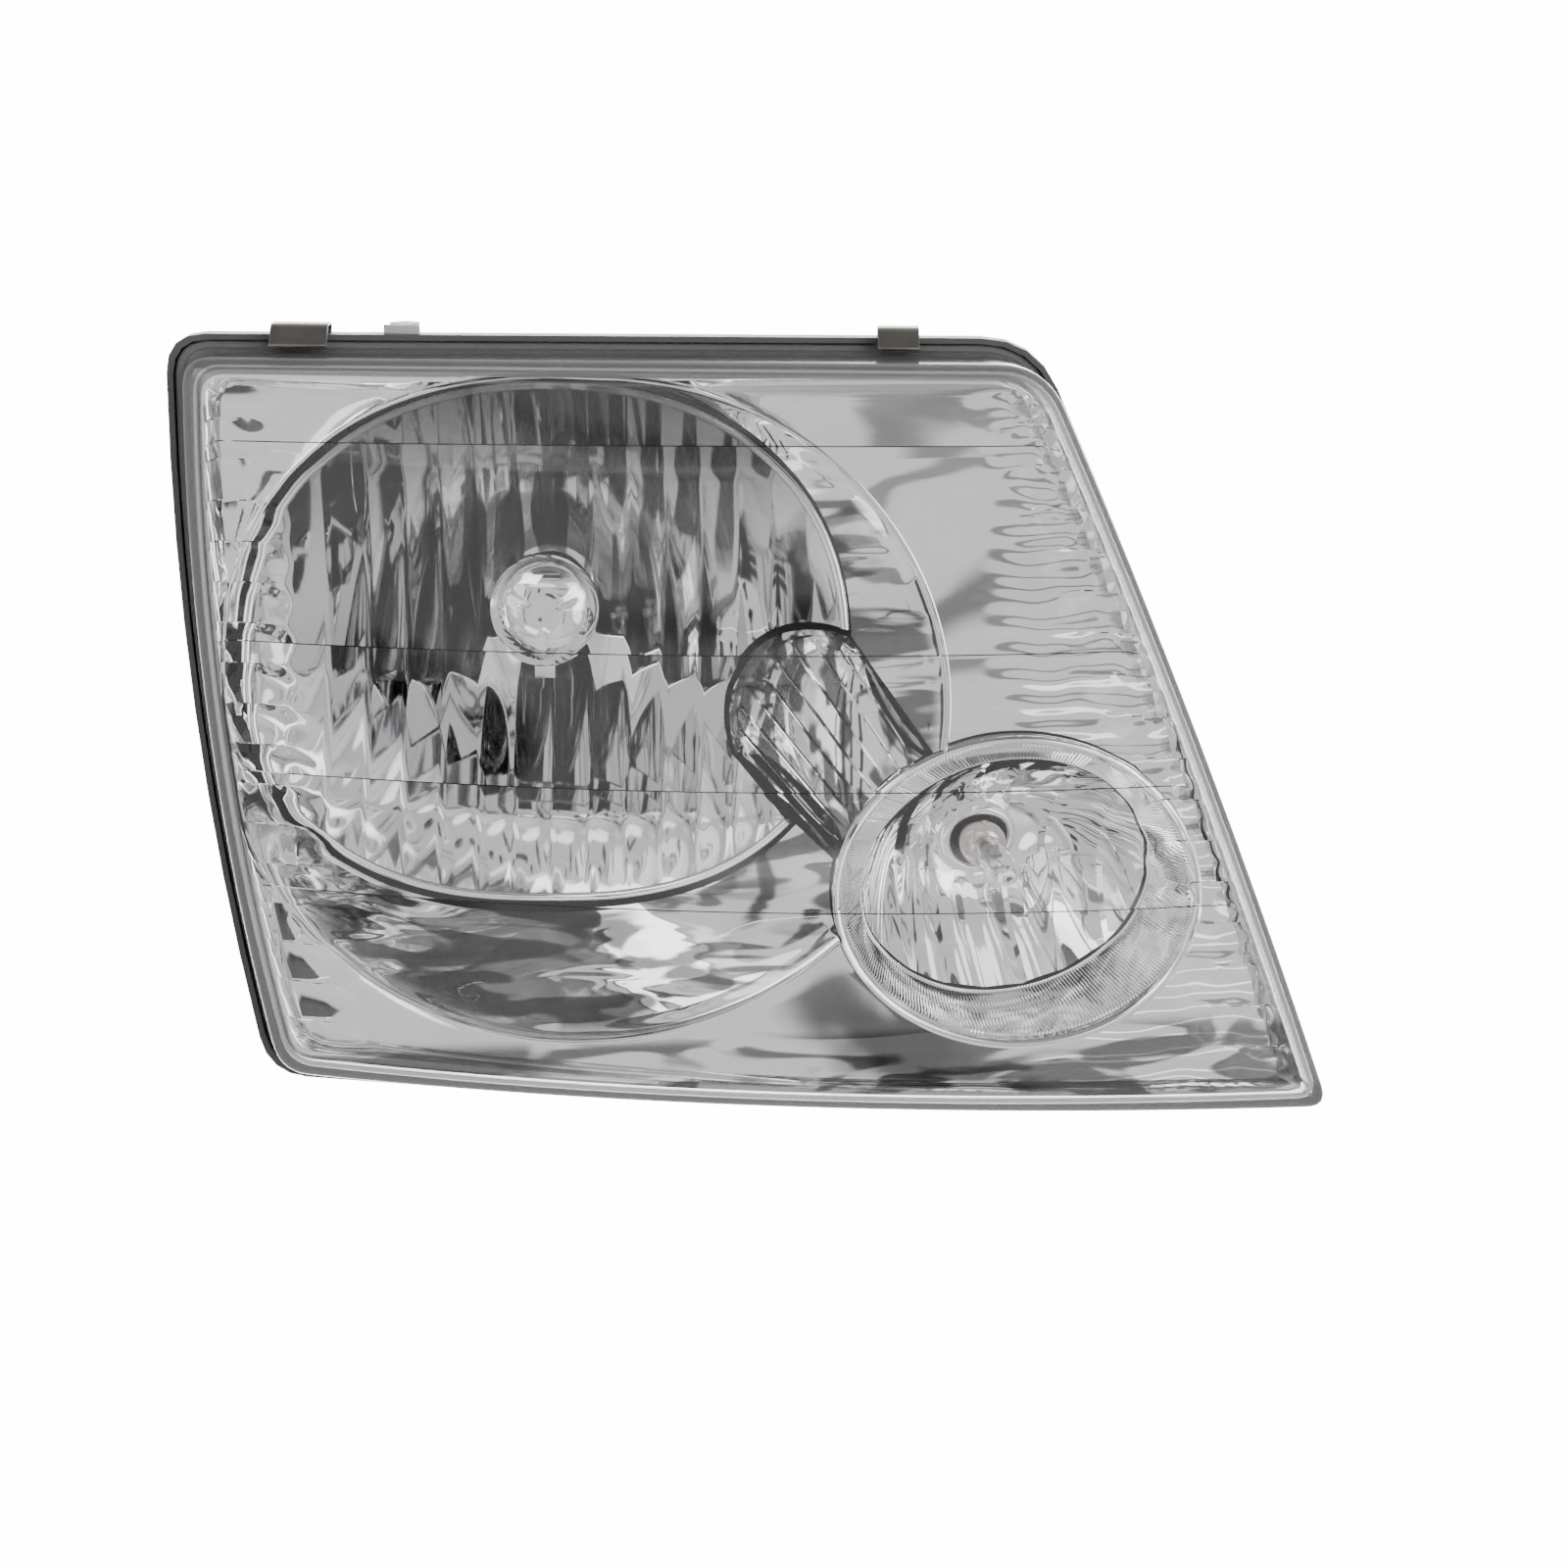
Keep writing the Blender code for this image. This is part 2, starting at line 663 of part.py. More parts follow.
def signal_shroud():
    """Drum round the signal lamp, with its rolled lip, its skirt and the sloping band inside it."""
    steps = 40
    lip, drum, bowl = SHROUD_LIP, SHROUD_DRUM, SIGNAL_BOWL
    inside = [half - SHROUD_WALL for half in drum]
    rings = []

    def ring(half, along):
        rings.append([signal_point(tau * k / steps, half, along(tau * k / steps)) for k in range(steps)])

    def from_lip(distance):
        return lambda angle: lip_reach(angle, lip, LIP_CLEARANCE) - distance

    ring((lip[0] - 2.4, lip[1] - 2.4), from_lip(0.6))
    ring((lip[0] - 1.2, lip[1] - 1.2), from_lip(0.0))
    ring(lip, from_lip(0.8))
    ring(lip, from_lip(3.0))
    ring(drum, from_lip(5.5))
    ring(drum, lambda angle: DRUM_REAR)
    ring(inside, lambda angle: DRUM_REAR)
    ring(inside, lambda angle: BOWL_DEPTH - 6.0)
    ring((bowl[0] + 0.6, bowl[1] + 0.6), lambda angle: BOWL_DEPTH - 1.0)
    ring((bowl[0] + 0.4, bowl[1] + 0.4), lambda angle: BOWL_DEPTH + 0.4)
    shroud = add_object("signal_shroud", *loft(rings, closed=True), chrome())
    join(shroud, signal_skirt())


def signal_reflector():
    """Bowl round the signal bulb, with its collar and rear neck."""
    steps = 32
    shares = (0.3, 0.55, 0.8, 1.0)

    def half(share, inner):
        return tuple(inner + (edge - inner) * share for edge in SIGNAL_BOWL)

    def round_half(radius):
        return (radius, radius)

    profile = [(round_half(COLLAR_HOLE), -14.0), (round_half(COLLAR_HOLE), 4.0), (round_half(11.2), 5.0)]
    profile += [(round_half(COLLAR_RADIUS), 4.0), (round_half(COLLAR_RADIUS), 1.0)]
    profile += [(half(share, COLLAR_RADIUS), BOWL_DEPTH * share ** 1.6) for share in shares]
    profile += [
        (half(share, COLLAR_RADIUS + 0.9), BOWL_DEPTH * share ** 1.6 - 2.4) for share in shares[::-1]
    ]
    profile += [(round_half(14.2), -1.6), (round_half(13.4), -14.0)]
    rings = [[signal_point(tau * k / steps, oval, along) for k in range(steps)] for oval, along in profile]
    add_object("signal_reflector", *loft(rings, closed=True), chrome())


def signal_socket():
    """Twist-lock bulb holder with its seal, bulb and terminals, on the signal axis."""
    rearward = -SIGNAL_AXIS
    centre = SIGNAL_COLLAR
    barrel = (
        (7.5 + GAP, 4.0), (9.0, 4.0), (9.0, 20.0), (11.5, 20.6), (11.5, 22.8), (17.0, 22.8), (17.0, 25.6),
        (13.0, 25.6), (13.0, 38.0), (4.0, 38.0), (4.0, 18.0), (7.5 + GAP, 18.0),
    )
    level, steep = across(SIGNAL_AXIS)
    body = add_object("signal_socket", *turned(barrel, centre, rearward, 20), grey_plastic(), centre)
    lugs = 3
    for turn in range(lugs):
        angle = tau * turn / lugs
        side = level * cos(angle) + steep * sin(angle)
        root = centre + rearward * 16.6
        join(body, bar(root + side * 8.0, root + side * 11.4, 5.0, 1.8, side.cross(rearward)))
    join(body, bar(centre + rearward * 34.0, centre + rearward * 52.0, 22.0, 15.0, level))
    cut(body, bar(centre + rearward * 41.0, centre + rearward * 60.0, 17.0, 10.0, level))
    seal = ((12.0, 20.3), (16.4, 20.3), (16.4, 22.5), (12.0, 22.5))
    add_object("signal_socket_seal", *turned(seal, centre, rearward, 20), rubber(), centre)
    cap = ((0.5, -13.0), (7.0, -13.0), (7.5, -12.0), (7.5, 15.0), (4.5, 17.4), (0.5, 17.4))
    metal = add_object("signal_bulb_cap", *turned(cap, centre, rearward, 16, closed=False), brass(), centre)
    pin = centre + SIGNAL_AXIS * 9.0
    join(metal, bar(pin + steep * 6.8, pin + steep * 8.6, 1.6, 1.6, level))
    bulb = (
        (0.4, 38.6), (1.5, 38.0), (3.2, 36.0), (5.0, 33.0),
        (5.5, 29.0), (5.5, 18.0), (5.0, 13.3), (0.4, 13.3),
    )
    add_object("signal_bulb_glass", *turned(bulb, centre, SIGNAL_AXIS, 14, closed=False), glass(), centre)
    for name, shift in (("left", -4.0), ("right", 4.0)):
        start = centre + rearward * (41.0 + GAP) + level * shift
        blade = bar(start, start + rearward * 5.5, 3.0, 0.8, level)
        add_object("signal_terminal_" + name, *blade, brass(), centre)


# ---------------------------------------------------------------- main reflector

def reflector_post(x, z, half, end):
    """A post on the reflector's back whose front end follows the bowl inside its wall."""
    corners = ((x - half, z - half), (x + half, z - half), (x + half, z + half), (x - half, z + half))
    front = [(a, bowl_y(a, b) + 1.3, b) for a, b in corners]
    rear = [(a, end, b) for a, b in corners]
    return loft([front, rear])


def main_reflector():
    """Paraboloid shell with rolled rim, rear neck and the posts that carry its ball sockets."""
    steps = 46
    start = (BULB_X, BULB_Z)
    sections = []
    for k in range(steps):
        angle = tau * k / steps
        direction = (cos(angle), sin(angle))
        rim = oval_radius(RIM_CENTRE, RIM_HALF, RIM_POWER, start, direction)

        def point(radius, y):
            return (BULB_X + direction[0] * radius, y, BULB_Z + direction[1] * radius)

        def depth(radius):
            return VERTEX_Y - radius * radius / (4.0 * FOCAL_LENGTH)

        section = []
        for share in (0.0, 0.25, 0.5, 0.75, 1.0):
            radius = BULB_HOLE + (rim - BULB_HOLE) * share
            section.append(point(radius, depth(radius)))
        section.append(point(rim + 0.8, depth(rim) - 0.5))
        section.append(point(rim + 1.2, depth(rim) + 1.0))
        back = NECK_RADIUS + 0.5
        for share in (0.97, 0.72, 0.46, 0.2):
            radius = back + (rim - back) * share
            section.append(point(radius, depth(radius) + REFLECTOR_WALL + 0.6))
        section.append(point(NECK_RADIUS, 46.0))
        section.append(point(NECK_RADIUS, NECK_END))
        section.append(point(NECK_BORE, NECK_END))
        section.append(point(NECK_BORE, 46.0))
        section.append(point(BULB_HOLE, 43.6))
        sections.append(section)
    rings = [[section[i] for section in sections] for i in range(len(sections[0]))]
    pivot = (BULB_X, PIVOT_Y, PIVOT_Z)
    bowl = add_object("main_reflector", *loft(rings, closed=True), chrome(), pivot)
    post_half = 5.5
    post_end = PIVOT_Y - SOCKET_FRONT - GAP
    for x in PIVOTS.values():
        join(bowl, reflector_post(x, PIVOT_Z, post_half, post_end))
    join(bowl, reflector_post(STEM_X, STEM_Z, post_half, post_end))
    clearance = 5.0
    cut(bowl, signal_cylinder([half + clearance for half in SHROUD_DRUM], -60.0, 90.0))
    cut(bowl, skirt_prism(SKIRT_CLEARANCE))


def ball_socket(name, x, z, pivot):
    """Nylon snap socket, open to the rear."""
    r = BALL_RADIUS + GAP
    profile = [(0.4, -SOCKET_FRONT), (8.0, -SOCKET_FRONT), (8.0, 4.0), (5.2, 4.6)]
    for degrees in (30, 5, -25, -55, -82):
        angle = degrees * pi / 180
        profile.append((r * cos(angle), r * sin(angle)))
    profile.append((0.4, -r))
    add_object(name, *turned(profile, (x, PIVOT_Y, z), BACK, 14, closed=False), white_plastic(), pivot)


def ball_stud(name, x, z, shank, end):
    """Ball, neck and round shank along Y."""
    neck = 12.0
    r = BALL_RADIUS
    profile = [(0.3, -r)]
    for degrees in (-65, -40, -15, 10, 32):
        angle = degrees * pi / 180
        profile.append((r * cos(angle), r * sin(angle)))
    profile += [(2.6, 3.6), (2.6, neck), (shank, neck + 1.0)]
    profile += [(shank, end - 0.8), (shank - 0.8, end), (0.3, end)]
    add_object(name, *turned(profile, (x, PIVOT_Y, z), BACK, 12, closed=False), steel(), (x, PIVOT_Y, z))


def pivots():
    """The two upper pivots and the lower, adjustable one."""
    axis_point = (BULB_X, PIVOT_Y, PIVOT_Z)
    for name, x in PIVOTS.items():
        ball_socket("pivot_socket_" + name, x, PIVOT_Z, axis_point)
        ball_stud("pivot_stud_" + name, x, PIVOT_Z, STUD_RADIUS, rear_y(x) - 6.5 - PIVOT_Y)
    ball_socket("adjuster_socket", STEM_X, STEM_Z, axis_point)
    ball_stud("adjuster_stem", STEM_X, STEM_Z, STEM_RADIUS, STEM_END - PIVOT_Y)


# ---------------------------------------------------------------- aiming gear

def gear_ring(axis_point, toward, level, mate, scale, phase):
    """One toothed ring of a mitre gear: root, tip, tip, root for each tooth."""
    ring = []
    normal = (1.0 / 2 ** 0.5, 1.0 / 2 ** 0.5)
    radius = GEAR_RADIUS * scale
    for tooth in range(GEAR_TEETH):
        middle = tau * (tooth + phase) / GEAR_TEETH
        for height, half in ((-1.2, -0.95), (0.9, -0.5), (0.9, 0.5), (-1.2, 0.95)):
            r = radius + height * scale * normal[0]
            along = -radius + height * scale * normal[1]
            angle = middle + half * scale / radius
            spoke = mate * cos(angle) + level * sin(angle)
            ring.append(Vector(axis_point) + toward * along + spoke * r)
    return ring


def circle(centre, toward, level, mate, radius, along, count):
    """A plain ring that matches a toothed one point for point."""
    ring = []
    for k in range(count):
        angle = tau * (k - 1.5) / count
        ring.append(Vector(centre) + toward * along + (mate * cos(angle) + level * sin(angle)) * radius)
    return ring


def aiming_gears():
    """Mitre gear on the stem and the drive shaft that turns it, in mesh at rest."""
    apex = Vector((STEM_X, GEAR_APEX, STEM_Z))
    side = Vector((1, 0, 0))
    count = GEAR_TEETH * 4
    bore = STEM_RADIUS + GAP
    rings = [
        gear_ring(apex, BACK, side, UP, 1.0, 0.0),
        circle(apex, BACK, side, UP, 8.0, -12.6, count),
        circle(apex, BACK, side, UP, bore, -12.6, count),
        circle(apex, BACK, side, UP, bore, -6.4, count),
        gear_ring(apex, BACK, side, UP, 0.68, 0.0),
    ]
    add_object("driven_gear", *loft(rings, closed=True), white_plastic(), apex)

    down = -UP
    front = -BACK
    phase = 0.5
    turn = tau * phase / GEAR_TEETH
    mate = front * cos(turn) + side * sin(turn)
    across_mate = side * cos(turn) - front * sin(turn)
    rings = [
        gear_ring(apex, down, side, front, 0.68, phase),
        gear_ring(apex, down, side, front, 1.0, phase),
        circle(apex, down, across_mate, mate, 8.0, -12.6, count),
        circle(apex, down, across_mate, mate, SHAFT_RADIUS, -12.6, count),
        circle(apex, down, across_mate, mate, SHAFT_RADIUS, 6.0 - SHAFT_END, count),
        circle(apex, down, across_mate, mate, 5.0, 6.0 - SHAFT_END, count),
        circle(apex, down, across_mate, mate, 5.0, -SHAFT_END, count),
    ]
    shaft = add_object("drive_shaft", *loft(rings), white_plastic(), apex)
    hex_socket = ((2.2, 0.0), (2.2, 8.0))
    cut(shaft, turned(hex_socket, apex + UP * (SHAFT_END - 4.5), UP, 6, closed=False))


def case_screws():
    """Places (x, z) of the gear case's two screws."""
    return ((STEM_X - 15.0, STEM_Z - 15.0), (STEM_X + 15.0, STEM_Z + 17.0))


def aiming_case():
    """Gear case, its cover and the two screws through both."""
    def block(front, rear):
        return box((STEM_X - 19, front, STEM_Z - 19), (STEM_X + 19, rear, STEM_Z + 21))

    shaft_bore = SHAFT_RADIUS + GAP
    case = add_object("adjuster_case", *block(PAD_FACE + GAP, CASE_REAR), black_plastic())
    cut(case, box((STEM_X - 11.5, PAD_FACE + 2.3, STEM_Z - 12.0), (STEM_X + 11.5, 125.0, STEM_Z + 15.0)))
    cut(case, turned(((4.2, 90.0), (4.2, 100.0)), (STEM_X, 0.0, STEM_Z), BACK, 16, closed=False))
    apex = (STEM_X, GEAR_APEX, STEM_Z)
    cut(case, turned(((shaft_bore, 10.0), (shaft_bore, 30.0)), apex, UP, 16, closed=False))
    cover = add_object("adjuster_cover", *block(CASE_REAR + GAP, COVER_REAR), black_plastic())
    screw_hole = SCREW_RADIUS + GAP
    for name, (x, z) in zip(("adjuster_screw_lower", "adjuster_screw_upper"), case_screws()):
        centre = (x, 0.0, z)
        hole = turned(((screw_hole, 90.0), (screw_hole, 130.0)), centre, BACK, 10, closed=False)
        cut(case, hole)
        cut(cover, hole)
        seat = COVER_REAR + GAP
        shank = SCREW_RADIUS
        profile = ((0.3, 88.0), (shank, 89.5), (shank, seat), (3.4, seat), (3.0, 125.8), (0.3, 126.0))
        add_object(name, *turned(profile, centre, BACK, 10, closed=False), steel())


# ---------------------------------------------------------------- main bulb

def main_bulb():
    """Twin-filament bulb with its base, seal, terminals, retaining ring, shield and bracket."""
    axis = (BULB_X, 0.0, BULB_Z)
    pivot = (BULB_X, NECK_END, BULB_Z)
    snug = NECK_BORE - GAP
    profile = (
        (0.5, 50.0), (9.8, 50.0), (9.8, 62.0), (snug, 64.0), (snug, 83.0),
        (14.8, 83.4), (14.8, 87.0), (snug, 87.4), (snug, NECK_END + 0.2), (20.8, NECK_END + GAP),
        (20.8, 94.0), (16.0, 94.2), (16.0, 104.0), (0.5, 104.0),
    )
    base = add_object("bulb_base", *turned(profile, axis, BACK, 22, closed=False), grey_plastic(), pivot)
    join(base, box((BULB_X - 12.5, 100.0, BULB_Z - 10.0), (BULB_X + 12.5, 126.0, BULB_Z + 10.0)))
    cut(base, box((BULB_X - 10.5, 108.0, BULB_Z - 8.0), (BULB_X + 10.5, 130.0, BULB_Z + 8.0)))
    for index, shift in enumerate((-6.0, 0.0, 6.0)):
        low = (BULB_X + shift - 1.6, 108.0 + GAP, BULB_Z - 0.4)
        high = (BULB_X + shift + 1.6, 119.0, BULB_Z + 0.4)
        add_object("bulb_terminal_" + str(index + 1), *box(low, high), brass(), pivot)
    ring = ((15.1, 84.0), (16.6, 84.0), (16.6, 86.4), (15.1, 86.4))
    add_object("bulb_seal", *turned(ring, axis, BACK, 24), rubber(), pivot)
    bulb = (
        (0.4, -5.0), (4.0, -4.0), (7.0, -1.0), (8.5, 4.0), (8.5, 38.0), (7.0, 44.0), (7.0, 49.7), (0.4, 49.7),
    )
    add_object("bulb_glass", *turned(bulb, axis, BACK, 16, closed=False), glass(), pivot)

    ring = ((22.4, 86.0), (27.0, 86.0), (27.0, 98.0), (17.6, 98.0), (17.6, 94.6), (22.4, 94.6))
    collar = add_object("bulb_retaining_ring", *turned(ring, axis, BACK, 24), black_plastic(), pivot)
    grips = 8
    for k in range(grips):
        angle = tau * k / grips
        spoke = Vector((cos(angle), 0.0, sin(angle)))
        middle = Vector((BULB_X, 0.0, BULB_Z)) + spoke * 27.5
        join(collar, bar(middle + BACK * 87.0, middle + BACK * 97.0, 3.4, 3.4, spoke))

    cap = (
        (0.5, -13.0), (6.0, -12.6), (12.0, -10.4), (16.4, -6.4), (17.5, -3.0), (17.5, 1.0), (16.7, 1.0),
        (16.7, -2.8), (15.7, -5.8), (11.6, -9.5), (5.8, -11.7), (0.5, -12.1),
    )
    add_object("bulb_shield", *turned(cap, axis, BACK, 20, closed=False), chrome(), pivot)
    hoop = ((10.5, 36.0), (12.5, 36.0), (12.5, 41.5), (10.5, 41.5))
    bracket = add_object("shield_bracket", *turned(hoop, axis, BACK, 20), chrome(), pivot)
    for degrees in (238, 302):
        angle = degrees * pi / 180
        spoke = Vector((cos(angle), 0.0, sin(angle)))
        middle = Vector((BULB_X, 0.0, BULB_Z))
        tangent = spoke.cross(BACK)
        join(bracket, bar(middle + spoke * 11.6 + BACK * 37.5, middle + spoke * 15.4, 5.0, 0.9, tangent))


def rear_boot():
    """Bellows that closes the gap between the housing's collar and the reflector's neck."""
    profile = (
        (NECK_RADIUS + GAP, 76.0), (28.0, 79.0), (33.0, 74.0), (38.0, 82.0), (COLLAR_INNER - GAP, 84.5),
        (COLLAR_INNER - GAP, 92.5), (41.0, 92.5), (37.4, 84.0), (33.0, 76.6), (28.0, 81.6),
        (NECK_RADIUS + GAP, 81.0),
    )
    axis = (BULB_X, 0.0, BULB_Z)
    add_object("rear_boot", *turned(profile, axis, BACK, 24), rubber())


def build():
    """Makes every part of the lamp."""
    for old in list(bpy.data.objects):
        bpy.data.objects.remove(old)
    housing()
    vent_caps()
    lens()
    lens_seal()
    lens_clips()
    bezel()
    signal_shroud()
    signal_reflector()
    signal_socket()
    main_reflector()
    pivots()
    aiming_gears()
    aiming_case()
    main_bulb()
    rear_boot()


build()
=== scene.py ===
"""Looks of the composite car headlight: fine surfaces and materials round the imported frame.

The design frame is in millimetres, X outboard, Y rearward, Z up, as in the CAD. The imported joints
say where it lies, and place() turns its points into metres in the row frame.
"""
import json
from math import cos, floor, hypot, pi, radians, sin, sqrt, tau

import bmesh
import bpy
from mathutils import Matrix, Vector


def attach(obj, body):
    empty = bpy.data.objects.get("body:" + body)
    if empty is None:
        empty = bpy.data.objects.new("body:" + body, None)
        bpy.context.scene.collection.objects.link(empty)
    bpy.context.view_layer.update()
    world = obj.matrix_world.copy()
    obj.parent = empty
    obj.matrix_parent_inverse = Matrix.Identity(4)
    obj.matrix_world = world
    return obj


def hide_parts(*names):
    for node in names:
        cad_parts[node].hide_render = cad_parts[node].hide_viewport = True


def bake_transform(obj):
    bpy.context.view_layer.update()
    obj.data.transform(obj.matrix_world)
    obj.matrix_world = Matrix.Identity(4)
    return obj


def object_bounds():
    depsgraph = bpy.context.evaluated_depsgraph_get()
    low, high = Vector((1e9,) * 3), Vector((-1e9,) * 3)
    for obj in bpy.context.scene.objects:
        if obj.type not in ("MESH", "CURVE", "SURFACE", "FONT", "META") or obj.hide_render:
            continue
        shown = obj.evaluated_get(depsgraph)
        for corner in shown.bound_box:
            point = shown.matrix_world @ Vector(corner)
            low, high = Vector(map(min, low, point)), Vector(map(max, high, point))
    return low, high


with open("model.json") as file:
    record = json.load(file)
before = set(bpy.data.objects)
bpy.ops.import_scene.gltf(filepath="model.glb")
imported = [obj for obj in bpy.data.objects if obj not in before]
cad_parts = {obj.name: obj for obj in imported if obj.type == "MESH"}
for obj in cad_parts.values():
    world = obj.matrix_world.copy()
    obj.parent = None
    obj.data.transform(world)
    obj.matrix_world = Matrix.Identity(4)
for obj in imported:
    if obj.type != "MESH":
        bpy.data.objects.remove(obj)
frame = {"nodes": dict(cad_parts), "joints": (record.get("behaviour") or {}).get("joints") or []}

MM = 0.001
CAD_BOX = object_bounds()
UP = Vector((0, 0, 1))
BACK = Vector((0, 1, 0))

# Driving dimensions, the same as the CAD's
CORNERS = ((-176.6, 123.5), (-147.0, -98.0), (187.5, -122.0), (94.5, 117.0))
BULGES = (7.0, 5.6, 3.0, 0.0)
CORNER_RADII = (9.0, 9.0, 7.0, 15.0)
FLANGE_TUCK = (0.4, 1.5, 5.5, 0.0)
BEZEL_TUCK = (0.0, 0.0, 1.6, 0.0)
NO_TUCK = (0.0, 0.0, 0.0, 0.0)
FLANGE_SLOPE = (0.21, 0.14)
LENS_THICKNESS = 3.0
BULB_X = -66.0
BULB_Z = 39.7
BULB_AXIS = (BULB_X, 0.0, BULB_Z)
VERTEX_Y = 42.0
FOCAL_LENGTH = 36.0
NECK_END = 90.0
NECK_RADIUS = 22.0
NECK_BORE = 17.0
BULB_HOLE = 13.0
RIM_CENTRE = (-65.0, 29.1)
RIM_HALF = (94.5, 80.5)
RIM_POWER = 2.3
OPENING_HALF = (97.0, 84.3)
OVAL_CENTRE = (-50.5, 11.5)
OVAL_HALF = (113.0, 102.5)
BEZEL_CENTRE = Vector((-58.0, 12.0))
SHROUD_LIP = (61.0, 48.0)
SHROUD_DRUM = (57.0, 45.0)
DRUM_REAR = 5.0
SKIRT_FRONT = (8.0, 62.0)
SKIRT_REAR = (-21.0, 105.0)
SKIRT_CENTRE = (23.4, 4.3)
SKIRT_RADIUS = 30.0
SKIRT_CLEARANCE = 2.2
SKIRT_GAP = 0.8
DRUM_CLEARANCE = 5.0
LIP_GAP = 0.3
LENS_CLEARANCE = 9.0
SIGNAL_BOWL = (48.0, 40.5)
BOWL_DEPTH = 33.0
COLLAR_RADIUS = 13.0
COLLAR_HOLE = 9.5
PIVOTS = (-135.0, 5.0)
PIVOT_Y = 22.0
PIVOT_Z = 78.0
STEM_X = -118.0
STEM_Z = -30.0
COLLAR_INNER = 43.5

# Where the design frame lies in the row frame
JOINTS = {joint["name"]: joint for joint in frame["joints"]}
ROW_ORIGIN = Vector((BULB_X, NECK_END, BULB_Z)) - Vector(JOINTS["bulb_ring_turn"]["pos_m"]) / MM
SIGNAL_AXIS = -Vector(JOINTS["signal_socket_turn"]["axis"]).normalized()
SIGNAL_COLLAR = Vector(JOINTS["signal_socket_turn"]["pos_m"]) / MM + ROW_ORIGIN


def place(point):
    """Row-frame metres from design millimetres."""
    return (Vector(point) - ROW_ORIGIN) * MM


# ---------------------------------------------------------------- materials

def new_material(name):
    """A node material, its node tree and its Principled shader."""
    made = bpy.data.materials.new(name)
    made.use_nodes = True
    tree = made.node_tree
    return made, tree, tree.nodes["Principled BSDF"]


def add_node(tree, kind, feeds=None, **settings):
    """A node with its properties set and its inputs fed from plain values or other nodes' outputs."""
    made = tree.nodes.new(kind)
    for name, value in settings.items():
        setattr(made, name, value)
    for socket, value in (feeds or {}).items():
        if isinstance(value, bpy.types.NodeSocket):
            tree.links.new(value, made.inputs[socket])
        else:
            made.inputs[socket].default_value = value
    return made


def vector_math(tree, operation, first, second=(0.0, 0.0, 0.0)):
    """A vector operation; its outputs are the vector and, for lengths, the value."""
    return add_node(tree, "ShaderNodeVectorMath", {0: first, 1: second}, operation=operation).outputs


def own_space(tree):
    """The object's own coordinates, in metres."""
    return add_node(tree, "ShaderNodeTexCoord").outputs["Object"]


def noise(tree, scale, detail=3.0):
    """Noise in the object's own space, in features per metre."""
    feeds = {"Vector": own_space(tree), "Scale": scale, "Detail": detail}
    return add_node(tree, "ShaderNodeTexNoise", feeds).outputs["Fac"]


def stretched_noise(tree, stretch, scale, detail=1.5, distortion=0.0):
    """Noise drawn out along some of the axes."""
    mapping = add_node(tree, "ShaderNodeMapping", {"Vector": own_space(tree), "Scale": stretch})
    feeds = {"Vector": mapping.outputs["Vector"], "Scale": scale}
    feeds.update({"Detail": detail, "Distortion": distortion})
    return add_node(tree, "ShaderNodeTexNoise", feeds).outputs["Fac"]


def ramp(tree, source, low, high):
    """Maps a 0-1 value onto a range."""
    feeds = {"Value": source, "To Min": low, "To Max": high}
    return add_node(tree, "ShaderNodeMapRange", feeds).outputs["Result"]


def smooth_mask(tree, source, empty, full):
    """0 where the source is at empty, 1 where it is at full, smooth between."""
    feeds = {"Value": source, "From Min": empty, "From Max": full}
    return add_node(tree, "ShaderNodeMapRange", feeds, interpolation_type="SMOOTHSTEP").outputs["Result"]


def height_mask(tree, height, empty, full):
    """A smooth mask between two heights of the design frame."""
    return smooth_mask(tree, height, place((0.0, 0.0, empty)).z, place((0.0, 0.0, full)).z)


def math_node(tree, operation, first, second=0.0):
    """The result of a maths node on sockets or numbers."""
    return add_node(tree, "ShaderNodeMath", {0: first, 1: second}, operation=operation).outputs["Value"]


def product(tree, first, second):
    return math_node(tree, "MULTIPLY", first, second)


def bump(tree, shader, source, strength, distance):
    """A bump from a height value."""
    feeds = {"Height": source, "Strength": strength, "Distance": distance}
    tree.links.new(add_node(tree, "ShaderNodeBump", feeds).outputs["Normal"], shader.inputs["Normal"])


def blended_colour(tree, shader, amount, first, second):
    """A base colour between two values by an amount from 0 to 1."""
    feeds = {"Factor": amount, "A": (*first, 1.0), "B": (*second, 1.0)}
    mix = add_node(tree, "ShaderNodeMix", feeds, data_type="RGBA")
    tree.links.new(mix.outputs["Result"], shader.inputs["Base Color"])


def mottled(tree, shader, scale, dark, light):
    """A base colour that drifts between two values."""
    blended_colour(tree, shader, noise(tree, scale), dark, light)


def darkened(tree, shader, amount, light, dark):
    """A base colour between a light and a dark cool grey."""
    blended_colour(tree, shader, amount, (light, light, light * 1.01), (dark, dark, dark * 1.01))


def uneven_gloss(tree, shader, scale, low, high):
    tree.links.new(ramp(tree, noise(tree, scale), low, high), shader.inputs["Roughness"])


MIRROR_WAVE = 0.00012
REFLECTOR_WAVE = 0.000015


def metal_coat(name, low=0.02, high=0.06):
    """A vacuum-metallised coat, still without its colour and its waviness."""
    made, tree, shader = new_material(name)
    shader.inputs["Metallic"].default_value = 1.0
    uneven_gloss(tree, shader, 90.0, low, high)
    return made, tree, shader


def wavy(tree, shader, depth):
    """The faint waviness of a metallised moulding."""
    bump(tree, shader, noise(tree, 42.0, 1.0), 0.35, depth)


